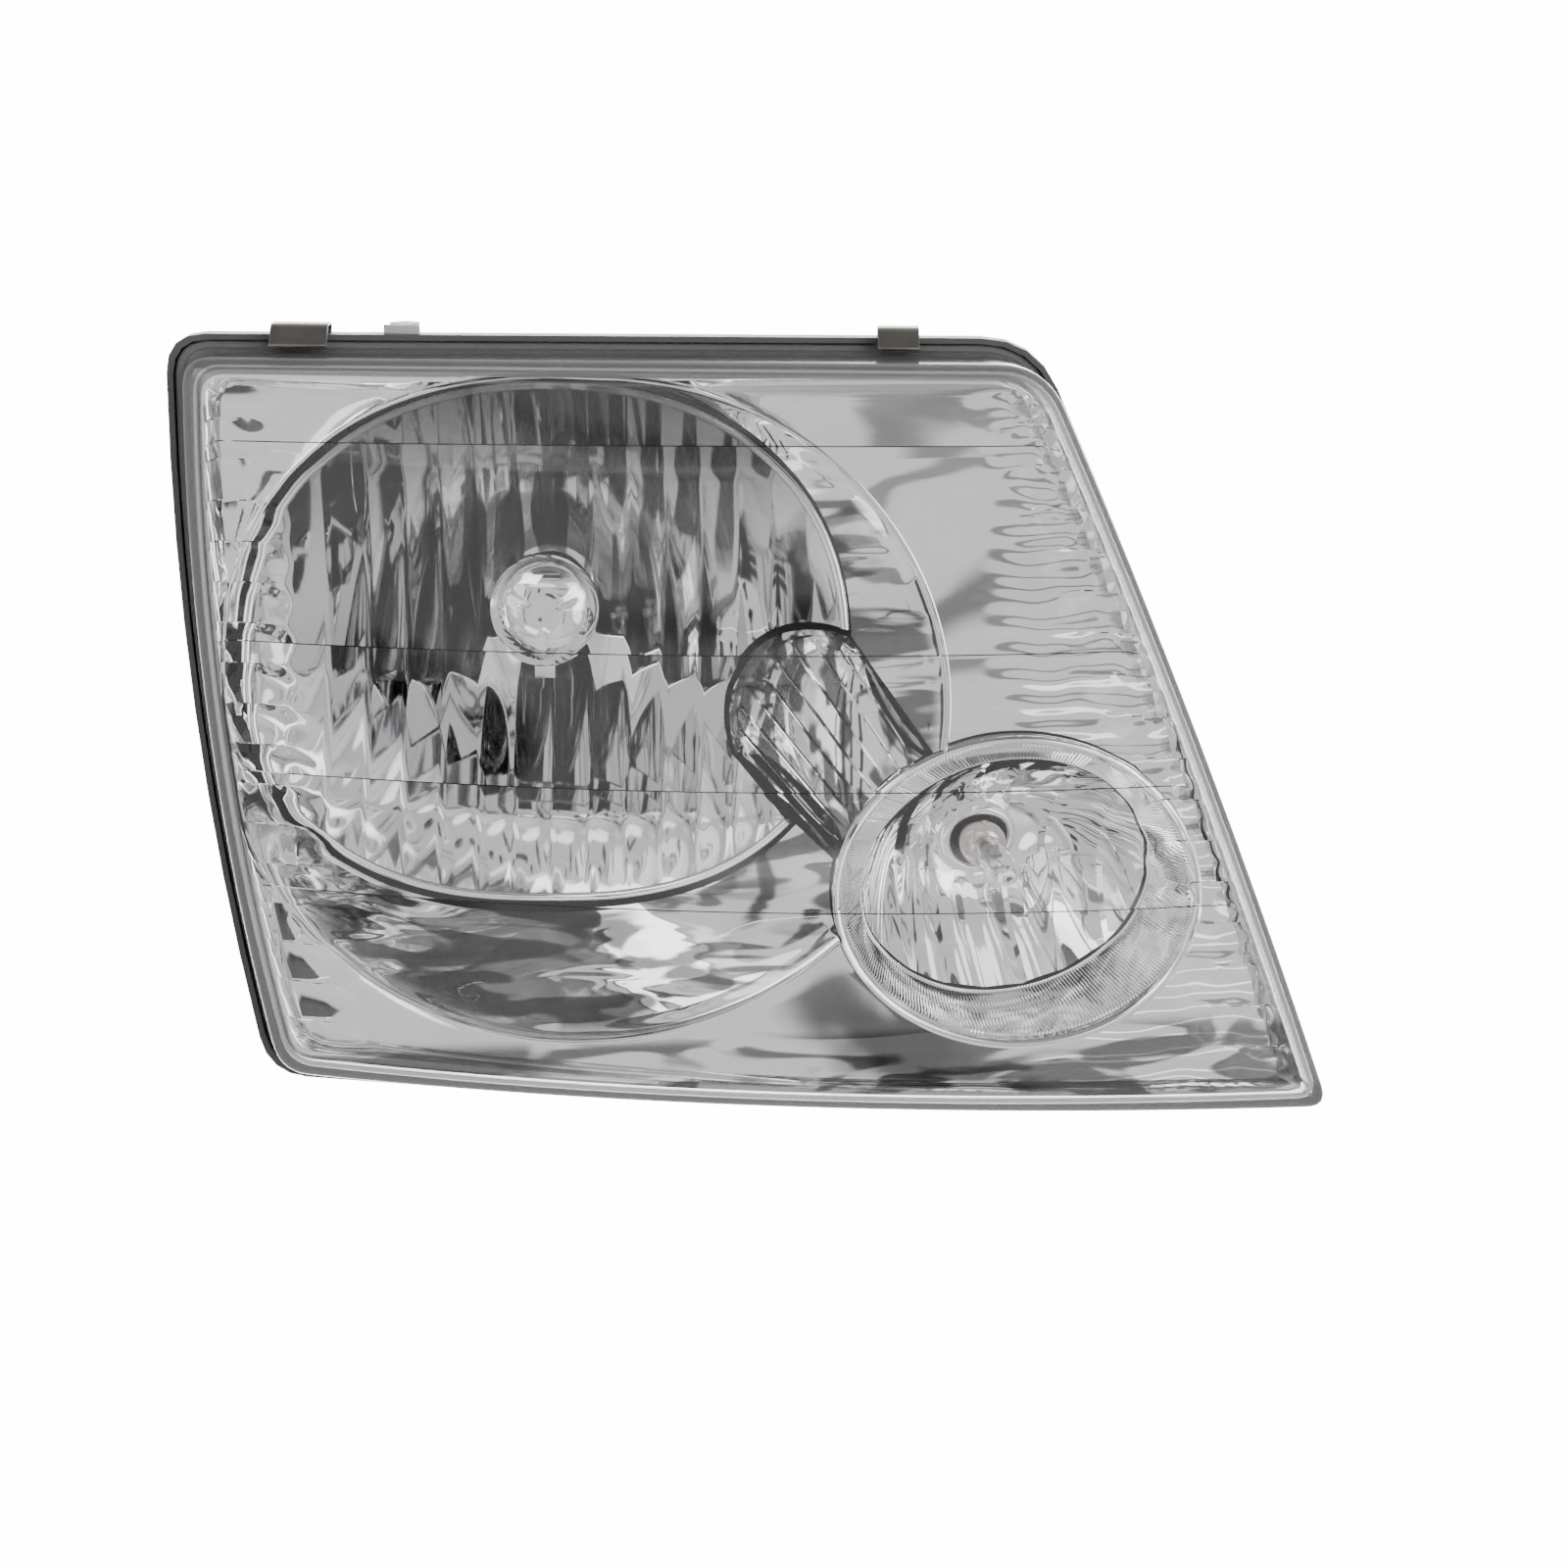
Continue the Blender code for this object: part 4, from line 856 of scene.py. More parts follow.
def bezel():
    """Metallised bezel: cone round the reflector, rolled oval ring, plate, step and rim."""
    steps = 80
    edge = plain_loop(-3.6, steps, BEZEL_TUCK)
    plate = plain_loop(-10.0, steps)
    step = plain_loop(-7.0, steps)
    sections = []
    for k in range(len(edge)):
        offset = edge[k] - BEZEL_CENTRE
        direction = offset.normalized()
        reach = offset.length
        opening = oval_radius(RIM_CENTRE, OPENING_HALF, RIM_POWER, BEZEL_CENTRE, direction)
        oval = oval_radius(OVAL_CENTRE, OVAL_HALF, 2.0, BEZEL_CENTRE, direction)
        oval = min(max(oval, opening + 1.2), reach - 2.4)
        plate_reach = min(max((plate[k] - BEZEL_CENTRE).length, oval + 1.6), reach - 0.8)
        step_reach = min(max((step[k] - BEZEL_CENTRE).length, oval + 2.0), reach - 0.4)

        def point(radius, depth):
            p = BEZEL_CENTRE + direction * radius
            return (p.x, depth(p.x, p.y), p.y)

        def beside(amount):
            return lambda x, z: bowl_y(x, z) + amount

        inner = Vector(point(opening, beside(4.0)))
        outer = Vector(point(oval, behind_face(9.6)))
        section = [inner.lerp(outer, t) for t in (0.0, 0.02, 0.25, 0.5, 0.75, 0.96)]
        for t in (0.0, 0.2, 0.4, 0.6, 0.8):
            section.append(point(oval + 1.2 * t, behind_face(9.0 - sin(pi * t))))
        section += [point(oval + 1.2, behind_face(9.3)), point(oval + 1.35, behind_face(12.0))]
        plate_start = oval + 1.35
        for t in (0.15, 0.6, 1.0):
            section.append(point(plate_start + (plate_reach - plate_start) * t, behind_face(12.6)))
        section += [
            point(step_reach, behind_face(8.4)),
            point(step_reach + 0.2 * (reach - step_reach), behind_face(8.0)),
            point(reach - 0.1, behind_face(8.0)),
            point(reach, behind_face(8.4)),
            point(reach, behind_face(16.6)),
            point(max(step_reach, reach - 1.4) - 0.4, behind_face(16.6)),
            point(max(plate_reach, oval + 1.7), behind_face(14.8)),
            point(oval + 1.4, behind_face(14.8)),
            point(opening + 1.5, lambda x, z: inner.y + 1.8),
        ]
        sections.append(section)
    rings = [[section[i] for section in sections] for i in range(len(sections[0]))]
    made = add_piece("bezel_skin", *loft(rings, closed=True), BEZEL_METAL, "housing", 35.0,
                     ("bezel",), "metallised")
    clear_signal_lamp(made, SHROUD_LIP, LIP_GAP, SKIRT_GAP)


def signal_cylinder(half, steps=160):
    """A long oval cylinder round the signal axis."""
    rings = []
    for along in (-60.0, 90.0):
        angles = [tau * k / steps for k in range(steps)]
        rings.append([signal_point(half[0] * cos(t), half[1] * sin(t), along) for t in angles])
    return loft(rings)


def clear_signal_lamp(target, oval, oval_gap, skirt_gap):
    """Cuts a piece back from the signal lamp's oval and from its skirt."""
    cut(target, signal_cylinder((oval[0] + oval_gap, oval[1] + oval_gap)))
    cut(target, skirt_prism(skirt_gap))


# ---------------------------------------------------------------- reflectors

def column_shares(half, pitch, offset, cuts):
    """Positions across a bowl: every flute boundary, with points between them."""
    first = floor((-half - offset) / pitch)
    marks = [offset + pitch * k for k in range(first, first + int(2 * half / pitch) + 3)]
    marks = [-half] + [m for m in marks if -half + 0.5 < m < half - 0.5] + [half]
    positions = [-half]
    for low, high in zip(marks, marks[1:]):
        positions += [low + (high - low) * k / cuts for k in range(1, cuts + 1)]
    return positions


def flute(position, pitch, offset, depth):
    """Depth of a round flute at a position across a bowl."""
    share = (position - offset) / pitch
    share -= floor(share)
    return depth * 4.0 * share * (1.0 - share)


def shell(front, back):
    """A closed shell from two equal grids of points, front and back."""
    tall, wide = len(front), len(front[0])
    points = [p for row in front for p in row] + [p for row in back for p in row]
    size = tall * wide
    faces = grid_faces(tall, wide) + grid_faces(tall, wide, size)
    border = grid_border(tall, wide)
    for a, b in zip(border, border[1:] + border[:1]):
        faces.append((a, b, b + size, a + size))
    return points, faces


FLUTE_PITCH = 11.9
FLUTE_OFFSET = 1.6 - (RIM_CENTRE[0] - BULB_X)
FLUTE_DEPTH = 0.20
BOWL_WALL = 2.8
RIM_STEPS = 260
RIM_BEAD = 1.5
RIM_OUT = 0.5
RIM_BACK = 0.9


def reflector_bowl():
    """Fluted paraboloid, cut for the bulb and the signal lamp."""
    columns = column_shares(RIM_HALF[0] - 0.05, FLUTE_PITCH, FLUTE_OFFSET, 8)
    rows = 70
    front, back = [], []
    for j in range(rows + 1):
        share = 2.0 * j / rows - 1.0
        share = sin(share * pi / 2)
        front_row, back_row = [], []
        for a in columns:
            x = RIM_CENTRE[0] + a
            reach = RIM_HALF[1] * max(1.0 - abs(a / RIM_HALF[0]) ** RIM_POWER, 0.0) ** (1.0 / RIM_POWER)
            z = RIM_CENTRE[1] + reach * share
            curve = flute(a, FLUTE_PITCH, FLUTE_OFFSET, FLUTE_DEPTH)
            y = bowl_y(x, z)
            front_row.append((x, y + curve, z))
            back_row.append((x, y + BOWL_WALL, z))
        front.append(front_row)
        back.append(back_row)
    made = add_piece("main_reflector_bowl", *shell(front, back), MIRROR_REFLECTOR, "reflector", 8.0,
                     ("main_reflector",), "metallised")
    cut(made, turned(((BULB_HOLE, 20.0), (BULB_HOLE, 60.0)), BULB_AXIS, BACK, 96, closed=False))
    clear_signal_lamp(made, SHROUD_DRUM, DRUM_CLEARANCE, SKIRT_CLEARANCE)
    made.data.set_sharp_from_angle(angle=radians(8))


def rim_ring(out, back):
    """A ring round the reflector: out past the rim's oval and back from the rolled bead."""
    ring = []
    for k in range(RIM_STEPS):
        angle = tau * k / RIM_STEPS
        direction = (cos(angle), sin(angle))
        radius = oval_radius(RIM_CENTRE, RIM_HALF, RIM_POWER, RIM_CENTRE, direction)
        bead, edge = [
            [middle + part * (radius + reach) for middle, part in zip(RIM_CENTRE, direction)]
            for reach in (RIM_OUT, out)
        ]
        ring.append((edge[0], bowl_y(*bead) + RIM_BACK + back, edge[1]))
    return ring


def reflector_rim():
    """Rolled bead of the reflector and the satin flange behind it."""
    bead = tube(rim_ring(RIM_OUT, 0.0), RIM_BEAD, 12, closed=True)
    skirt = ((0.3, 1.6), (2.6, 7.6), (1.8, 8.0), (-0.6, 2.4))
    flange = loft([rim_ring(out, back) for out, back in skirt], closed=True)
    for name, shape, material in (("rim", bead, MIRROR_REFLECTOR), ("flange", flange, SATIN_METAL)):
        made = add_piece("main_reflector_" + name, *shape, material, "reflector", 60.0, (), "metallised")
        clear_signal_lamp(made, SHROUD_DRUM, DRUM_CLEARANCE, SKIRT_CLEARANCE)


def reflector_back():
    """Neck and socket posts behind the reflector."""
    neck = ((13.4, 43.0), (15.5, 44.5), (NECK_BORE, 47.0), (NECK_BORE, NECK_END), (NECK_RADIUS, NECK_END),
            (NECK_RADIUS, 46.5), (20.0, 44.2))
    add_piece("main_reflector_neck", *turned(rounded(neck, 0.6), BULB_AXIS, BACK), BLACK, "reflector", 40.0,
              (), "black_plastic")
    posts = []
    for x, z in [(x, PIVOT_Z) for x in PIVOTS] + [(STEM_X, STEM_Z)]:
        corners = ((x - 5.5, z - 5.5), (x + 5.5, z - 5.5), (x + 5.5, z + 5.5), (x - 5.5, z + 5.5))
        posts.append(loft([[(a, bowl_y(a, b) + 3.0, b) for a, b in corners],
                           [(a, PIVOT_Y - 8.3, b) for a, b in corners]]))
    add_piece("main_reflector_posts", *joined(*posts), BLACK, "reflector", 30.0, (), "black_plastic")


SIGNAL_PITCH = 13.5
SIGNAL_OFFSET = 4.0


def signal_depth(a, b):
    """Distance along the signal axis to the bowl's smooth surface."""
    radius = hypot(a, b)
    if radius < 1e-6:
        return 0.0
    edge = 1.0 / sqrt((a / radius / SIGNAL_BOWL[0]) ** 2 + (b / radius / SIGNAL_BOWL[1]) ** 2)
    share = max(radius - COLLAR_RADIUS, 0.0) / (edge - COLLAR_RADIUS)
    return BOWL_DEPTH * min(share, 1.0) ** 1.6


def signal_reflector():
    """Faceted bowl of the signal lamp with its collar and neck."""
    columns = column_shares(SIGNAL_BOWL[0] - 0.1, SIGNAL_PITCH, SIGNAL_OFFSET, 7)
    rows = 56
    front, back = [], []
    for j in range(rows + 1):
        share = sin((2.0 * j / rows - 1.0) * pi / 2)
        front_row, back_row = [], []
        for a in columns:
            b = (SIGNAL_BOWL[1] - 0.1) * sqrt(max(1.0 - (a / SIGNAL_BOWL[0]) ** 2, 0.0)) * share
            along = signal_depth(a, b)
            curve = flute(a, SIGNAL_PITCH, SIGNAL_OFFSET, 1.0) * min(1.0, along / 4.0)
            shelf = 0.35 if b < -4.0 and int(floor((a - SIGNAL_OFFSET) / SIGNAL_PITCH)) % 2 else 0.0
            front_row.append(signal_point(a, b, along - curve + shelf))
            back_row.append(signal_point(a, b, along - 3.4))
        front.append(front_row)
        back.append(back_row)
    made = add_piece("signal_reflector_bowl", *shell(front, back), MIRROR_BOWL, "housing", 9.0,
                     ("signal_reflector",), "metallised")
    hole = ((COLLAR_RADIUS - 0.3, -20.0), (COLLAR_RADIUS - 0.3, 20.0))
    cut(made, turned(hole, SIGNAL_COLLAR, SIGNAL_AXIS, 72, closed=False))
    made.data.set_sharp_from_angle(angle=radians(9))
    profile = ((COLLAR_HOLE, -14.0), (COLLAR_HOLE, 4.4), (10.4, 5.4), (12.2, 5.2), (COLLAR_RADIUS, 4.0),
               (COLLAR_RADIUS, -2.0), (13.4, -14.0))
    add_piece("signal_collar", *turned(rounded(profile, 0.7), SIGNAL_COLLAR, SIGNAL_AXIS), MIRROR_BOWL,
              "housing", 40.0, (), "metallised")
    # A thin near-black sleeve inside the collar's hole: painted shade
    sleeve = ((COLLAR_HOLE - 0.3, -13.8), (COLLAR_HOLE - 0.3, 3.6), (COLLAR_HOLE - 0.05, 3.6),
              (COLLAR_HOLE - 0.05, -13.8))
    add_piece("signal_collar_painted_shade", *turned(sleeve, SIGNAL_COLLAR, SIGNAL_AXIS), PAINTED_SHADE_BLACK, "housing", 40.0,
              (), "black_plastic")


BAND_FLUTES = 290
SKIRT_RIBS = 9
SKIRT_START = 6.5
SKIRT_SEAT = 1.5
SKIRT_HOLLOW = 14.0
SKIRT_CREST = 6.0
RIB_PROFILE = ((0.0, 0.0), (0.07, 0.0), (0.11, 0.9), (0.16, 1.1), (0.21, 0.9), (0.25, 0.0), (0.40, 0.0),
               (0.55, 0.0), (0.70, 0.0), (0.85, 0.0))


def skirt_angles(share):
    """Where the skirt's line at a share of its width starts at the lip and ends on its rear arc."""
    front = SKIRT_FRONT[0] + (SKIRT_FRONT[1] - SKIRT_FRONT[0]) * share
    rear = SKIRT_REAR[0] + (SKIRT_REAR[1] - SKIRT_REAR[0]) * share
    return radians(front), radians(rear)


def skirt_point(width, run, inset=0.0):
    """A point of the skirt: width from -1 to 1 across it, run from 0 at the lip to 1 at the reflector."""
    front_angle, rear_angle = skirt_angles((width + 1) / 2)
    a, b = cos(front_angle), sin(front_angle)
    along = lip_reach(SHROUD_LIP[0] * a, SHROUD_LIP[1] * b, LENS_CLEARANCE) - SKIRT_START - inset
    front = signal_point((SHROUD_DRUM[0] - 0.8) * a, (SHROUD_DRUM[1] - 0.8) * b, along)
    radius = SKIRT_RADIUS - inset
    x = SKIRT_CENTRE[0] - radius * cos(rear_angle)
    z = SKIRT_CENTRE[1] + radius * sin(rear_angle)
    p = front.lerp(Vector((x, bowl_y(x, z) + SKIRT_SEAT, z)), run)
    crest = sqrt(max(1.0 - width * width, 0.0))
    swell = 4.0 * run * (1.0 - run)
    depth = swell * (SKIRT_HOLLOW * (1.0 - crest) - SKIRT_CREST * crest)
    return p + BACK * (depth + 1.2 * inset)


def skirt_prism(grow):
    """A prism along Y round the skirt's outline, used as a cutter."""
    path = []
    for k in range(37):
        angle = skirt_angles(k / 36)[1]
        path.append(Vector(SKIRT_CENTRE) + Vector((-cos(angle), sin(angle))) * SKIRT_RADIUS)
    for k in range(9):
        angle = skirt_angles(1.0 - k / 8)[0]
        p = signal_point((SHROUD_DRUM[0] - 3.0) * cos(angle), (SHROUD_DRUM[1] - 3.0) * sin(angle), 50.0)
        path.append(Vector((p.x, p.z)))
    grown = []
    for k, p in enumerate(path):
        a = (p - path[k - 1]).normalized()
        b = (path[(k + 1) % len(path)] - p).normalized()
        normal = Vector((-(a.y + b.y), a.x + b.x)).normalized()
        grown.append(p + normal * grow / max(abs(normal.dot(Vector((-a.y, a.x)))), 0.6))
    return loft([[(p.x, y, p.y) for p in grown] for y in (-120.0, 60.0)])


def signal_skirt():
    """Ribbed plate that sweeps from the signal lamp's lip up to the main reflector."""
    runs = [k / 24 * 0.9 for k in range(25)] + [0.92, 0.94, 0.95, 0.96, 0.985, 1.0]
    rings = []
    for i in range(SKIRT_RIBS):
        for offset, height in RIB_PROFILE:
            width = 0.985 * (2.0 * (i + offset) / SKIRT_RIBS - 1.0)
            side = skirt_point(min(width + 0.01, 0.985), 0.5) - skirt_point(max(width - 0.01, -0.985), 0.5)
            outer = []
            for run in runs:
                p = skirt_point(width, run)
                near, far = max(run - 0.01, 0.0), min(run + 0.01, 1.0)
                forward = skirt_point(width, far) - skirt_point(width, near)
                normal = side.cross(forward).normalized()
                if normal.y > 0:
                    normal = -normal
                taper = min(1.0, max(0.0, (run - 0.10) / 0.035)) * min(1.0, max(0.0, (0.93 - run) / 0.02))
                border = 1.3 if 0.945 < run < 0.99 else 0.0
                outer.append(p + normal * (height * taper + border))
            inner = [skirt_point(width, run, 1.7) for run in runs[::-4]]
            rings.append(outer + inner)
    last = [skirt_point(0.985, run) for run in runs] + [skirt_point(0.985, run, 1.7) for run in runs[::-4]]
    rings.append(last)
    add_piece("signal_skirt_ribbed", *loft(rings), SKIRT_METAL, "housing", 22.0, (), "metallised")


def signal_shroud():
    """Drum with its rolled lip and the finely fluted band inside it."""
    steps = BAND_FLUTES * 3

    def ring(half, along, ridge=None):
        points = []
        for k in range(steps):
            angle = tau * k / steps
            extra = ridge(k) if ridge else 0.0
            a, b = (half[0] + extra) * cos(angle), (half[1] + extra) * sin(angle)
            points.append(signal_point(a, b, along(half[0] * cos(angle), half[1] * sin(angle))))
        return points

    def from_lip(distance):
        return lambda a, b: lip_reach(a, b, LENS_CLEARANCE) - distance

    def fixed(distance):
        return lambda a, b: distance

    def fine(k):
        return (-0.55, 0.1, 0.1)[k % 3]

    lip, drum, bowl = SHROUD_LIP, SHROUD_DRUM, SIGNAL_BOWL

    def inset(half, amount):
        return (half[0] - amount, half[1] - amount)

    rings = [
        ring(inset(lip, 3.0), from_lip(2.0)),
        ring(inset(lip, 2.5), from_lip(0.7)),
        ring(inset(lip, 1.9), from_lip(0.2)),
        ring(inset(lip, 1.2), from_lip(0.0)),
        ring(inset(lip, 0.5), from_lip(0.25)),
        ring(inset(lip, 0.1), from_lip(0.9)),
        ring(lip, from_lip(1.8)),
        ring(inset(lip, 0.2), from_lip(3.0)),
        ring(inset(drum, -1.2), from_lip(4.2)),
        ring(inset(drum, -0.2), from_lip(5.2)),
        ring(drum, from_lip(7.4)),
        ring(drum, fixed(DRUM_REAR)),
        ring(inset(drum, 2.0), fixed(DRUM_REAR)),
        ring(inset(drum, 2.0), fixed(BOWL_DEPTH - 6.0)),
        ring(inset(bowl, -0.6), fixed(BOWL_DEPTH - 1.0)),
        ring(inset(bowl, -0.5), fixed(BOWL_DEPTH + 0.8)),
        ring(inset(bowl, -1.2), fixed(BOWL_DEPTH + 1.0), fine),
        ring(inset(lip, 3.7), from_lip(3.0), fine),
        ring(inset(lip, 3.3), from_lip(2.6)),
    ]
    add_piece("signal_shroud_skin", *loft(rings, closed=True), MIRROR, "housing", 28.0, ("signal_shroud",),
              "metallised")


# ---------------------------------------------------------------- bulbs

def main_bulb():
    """Glass and two filaments of the main bulb."""
    centre = Vector(BULB_AXIS)
    glass = ((0.2, -4.6), (1.2, -4.9), (2.4, -4.4), (4.6, -3.4), (7.0, -1.0), (8.2, 2.0), (8.5, 5.0),
             (8.5, 37.0), (8.0, 41.0), (7.0, 44.0), (7.0, 49.7), (6.2, 49.7), (6.2, 43.6), (7.2, 40.6),
             (7.6, 37.0), (7.6, 5.0), (7.2, 2.4), (6.2, 0.0), (4.2, -2.2), (2.2, -3.4), (0.2, -3.6))
    add_piece("bulb_envelope", *turned(glass, BULB_AXIS, BACK, 64, closed=False), GLASS, "reflector", 50.0,
              ("bulb_glass",), "bulb_glass")
    shapes = []
    for y, shift in ((12.0, 1.6), (24.0, -1.6)):
        coil = [centre + Vector((-3.5 + 7.0 * k / 120, y + 0.7 * cos(k * 0.9), shift + 0.7 * sin(k * 0.9)))
                for k in range(121)]
        shapes.append(tube(coil, 0.14, 6))
        for side in (-1, 1):
            post = [centre + Vector((side * 3.5, y + (47.0 - y) * t, shift * (1 - t)))
                    for t in (0.0, 0.3, 0.7, 1.0)]
            shapes.append(tube(post, 0.35, 8))
    add_piece("bulb_filaments", *joined(*shapes), TUNGSTEN, "reflector", 50.0, (), "spring_steel")


def bulb_shield():
    """Domed chrome shield with three dimples, and fins inside its rim painted near-black as shade."""
    centre = Vector(BULB_AXIS)
    steps = 120
    profile = ((0.05, -12.4), (2.6, -12.75), (5.0, -13.0), (8.0, -12.4), (11.5, -10.9), (14.5, -8.6),
               (16.5, -6.0), (17.4, -3.4), (17.5, -2.2), (17.5, 1.0), (16.8, 1.0), (16.8, -2.6),
               (15.8, -5.8), (11.2, -9.9), (6.0, -11.9), (0.05, -12.0))
    rings = []
    for radius, along in profile:
        ring = []
        for k in range(steps):
            angle = tau * k / steps
            dimple = 0.0
            for mark in (radians(155), radians(270), radians(25)):
                gap = hypot(radius * cos(angle) - 9.6 * cos(mark), radius * sin(angle) - 9.6 * sin(mark))
                dimple += 1.3 * max(0.0, 1.0 - (gap / 2.6) ** 2)
            ring.append(centre + Vector((radius * cos(angle), along + dimple, radius * sin(angle))))
        rings.append(ring)
    add_piece("bulb_shield_cap", *loft(rings), CHROME, "reflector", 50.0, ("bulb_shield",), "chrome")
    # Fins painted near-black as the shade inside the shield's rim
    fins = []
    for k in range(-6, 7):
        angle = radians(90 + k * 9)
        out = spoke(angle)
        fins.append(bar(centre + out * 15.9 + BACK * 1.1, centre + out * 17.0 + BACK * 4.4, 1.5, 0.6,
                        out.cross(BACK)))
    add_piece("bulb_shield_fins", *joined(*fins), PAINTED_SHADE_BLACK, "reflector", 30.0, (), "black_plastic")


def shield_bracket():
    """Hoop, two legs and lower tab that hold the shield, and a near-black cup of painted shade in the
    bulb's hole.
    """
    centre = Vector(BULB_AXIS)
    hoop = ((10.4, 36.0), (12.6, 36.0), (12.6, 41.5), (10.4, 41.5))
    shapes = [turned(rounded(hoop, 0.4), BULB_AXIS, BACK)]
    for angle in (radians(238), radians(302)):
        out = spoke(angle)
        shapes.append(bar(centre + out * 11.8 + BACK * 38.0, centre + out * 16.2 - BACK * 1.0, 5.0, 0.9,
                          out.cross(BACK)))
    tab = (centre - UP * 17.2 - BACK * 2.0, centre - UP * 21.6 + BACK * 0.5)
    shapes.append(bar(*tab, 6.5, 0.9, Vector((1, 0, 0))))
    bracket = add_piece("shield_bracket_strip", *joined(*shapes), CHROME, "reflector", 40.0,
                        ("shield_bracket",), "chrome")
    soften(bracket, 0.2)
    # A near-black cup in the bulb's hole: painted shade
    cup = ((12.9, 43.2), (12.9, 45.5), (9.9, 49.0), (9.9, 49.6), (13.8, 49.6), (13.8, 43.2))
    add_piece("bulb_hole_painted_shade", *turned(cup, BULB_AXIS, BACK), PAINTED_SHADE_BLACK, "reflector", 40.0,
              (), "black_plastic")


def signal_bulb():
    """Wedge-sealed signal bulb: nickel cap with pins, clear envelope with its pip, and filaments."""
    rearward = -SIGNAL_AXIS
    cap = ((0.3, -13.2), (4.5, -13.3), (5.6, -12.6), (6.9, -11.4), (7.5, -10.4), (7.5, -1.6), (7.25, -1.3),
           (7.5, -1.0), (7.5, 15.0), (4.5, 17.4), (0.3, 17.4))
    shapes = [turned(cap, SIGNAL_COLLAR, rearward, closed=False)]
    for sign in (-1, 1):
        pin = SIGNAL_COLLAR + SIGNAL_AXIS * 9.0 + STEEP * (7.0 * sign)
        shapes.append(tube([pin, pin + STEEP * (0.9 * sign), pin + STEEP * (1.6 * sign)], 0.8, 14))
    add_piece("signal_bulb_cap_shell", *joined(*shapes), NICKEL, "signal_holder", 35.0,
              ("signal_bulb_cap",), "nickel_cap")
    envelope = ((0.05, 38.4), (0.5, 38.6), (1.0, 38.2), (1.1, 37.2), (1.5, 36.2), (2.9, 35.4), (4.4, 33.6),
                (5.3, 31.0), (5.5, 28.0), (5.5, 18.5), (5.2, 15.0), (4.6, 13.5), (3.8, 13.5), (4.3, 15.4),
                (4.7, 18.7), (4.7, 27.8), (4.5, 30.4), (3.8, 32.6), (2.6, 34.0), (1.2, 34.8), (0.05, 35.0))
    add_piece("signal_bulb_envelope", *turned(envelope, SIGNAL_COLLAR, SIGNAL_AXIS, 56, closed=False),
              GLASS, "signal_holder", 50.0, ("signal_bulb_glass",), "bulb_glass")
    shapes = []
    for shift, reach in ((-1.2, 26.0), (1.2, 22.0)):
        coil = [signal_point(-2.4 + 4.8 * k / 90, shift + 0.45 * sin(k), reach + 0.45 * cos(k))
                for k in range(91)]
        shapes.append(tube(coil, 0.1, 6))
        for side in (-1, 1):
            wire = [signal_point(side * 2.4, shift, reach), signal_point(side * 1.9, shift, reach - 5.0),
                    signal_point(side * 1.3, shift, 14.0)]
            shapes.append(tube(wire, 0.22, 8))
    bead = ((0.1, 15.0), (2.6, 15.2), (3.0, 16.5), (2.2, 18.2), (0.1, 18.6))
    shapes.append(turned(bead, SIGNAL_COLLAR, SIGNAL_AXIS, 24, closed=False))
    add_piece("signal_bulb_filaments", *joined(*shapes), TUNGSTEN, "signal_holder", 50.0,
              (), "spring_steel")


# ---------------------------------------------------------------- clips and boot

def lens_clips():
    """Sprung steel clips over the top flange, their ends rolled."""
    path = ((2.0, 9.0), (3.0, 9.05), (7.2, 9.0), (8.0, 8.7), (8.5, 7.9), (8.6, 7.0), (8.6, -2.2),
            (8.4, -3.4), (7.7, -4.4), (3.4, -9.9), (2.7, -10.9), (2.8, -11.8), (3.5, -12.2))
    slope = (CORNERS[0][1] - CORNERS[3][1]) / (CORNERS[0][0] - CORNERS[3][0])
    for name, x0, x1 in (("inner", -150.6, -132.8), ("outer", 41.0, 54.4)):
        rings = []
        for x in (x0, x1):
            z = CORNERS[3][1] + slope * (x - CORNERS[3][0])
            y = flange_y(x, z)
            outer, inner = [], []
            for i, (g, d) in enumerate(path):
                t = (Vector(path[min(i + 1, len(path) - 1)]) - Vector(path[max(i - 1, 0)])).normalized()
                outer.append((x, y + d, z + g))
                inner.append((x, y + d + 0.7 * t.x, z + g - 0.7 * t.y))
            rings.append(outer + inner[::-1])
        made = add_piece("lens_clip_strip_" + name, *loft(rings), SPRING, "housing", 40.0,
                         ("lens_clip_" + name,), "spring_steel")
        soften(made, 0.18, 2, 50.0)


def rear_boot():
    """Rubber boot with a rippled wall between the housing's collar and the reflector's neck."""
    outside = [(COLLAR_INNER - 0.25, 92.6), (41.3, 92.8), (40.2, 91.0)]
    for k in range(1, 12):
        share = k / 12
        outside.append((40.2 - 16.0 * share, 91.0 - 10.0 * share + 1.1 * sin(share * 5.5 * pi)))
    outside += [(NECK_RADIUS + 1.9, 81.6), (NECK_RADIUS + 0.2, 81.4), (NECK_RADIUS + 0.2, 77.0)]
    inside = []
    for k in range(1, 12):
        share = 1 - k / 12
        inside.append((40.2 - 16.0 * share, 88.9 - 10.0 * share + 1.1 * sin(share * 5.5 * pi)))
    profile = outside + inside + [(COLLAR_INNER - 0.25, 88.0)]
    made = add_piece("rear_boot_skin", *turned(profile, BULB_AXIS, BACK, 120), RUBBER, None, 50.0,
                     (), "black_rubber")
    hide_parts("rear_boot")
    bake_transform(made)


# ---------------------------------------------------------------- tent, lights and camera

CENTRE = (CAD_BOX[0] + CAD_BOX[1]) / 2
CAMERA_TILT = 10.0
CAMERA_DISTANCE = 1.62
CAMERA_LENS = 115.9
CAMERA_AIM = (10.8, -10.0, -16.0)


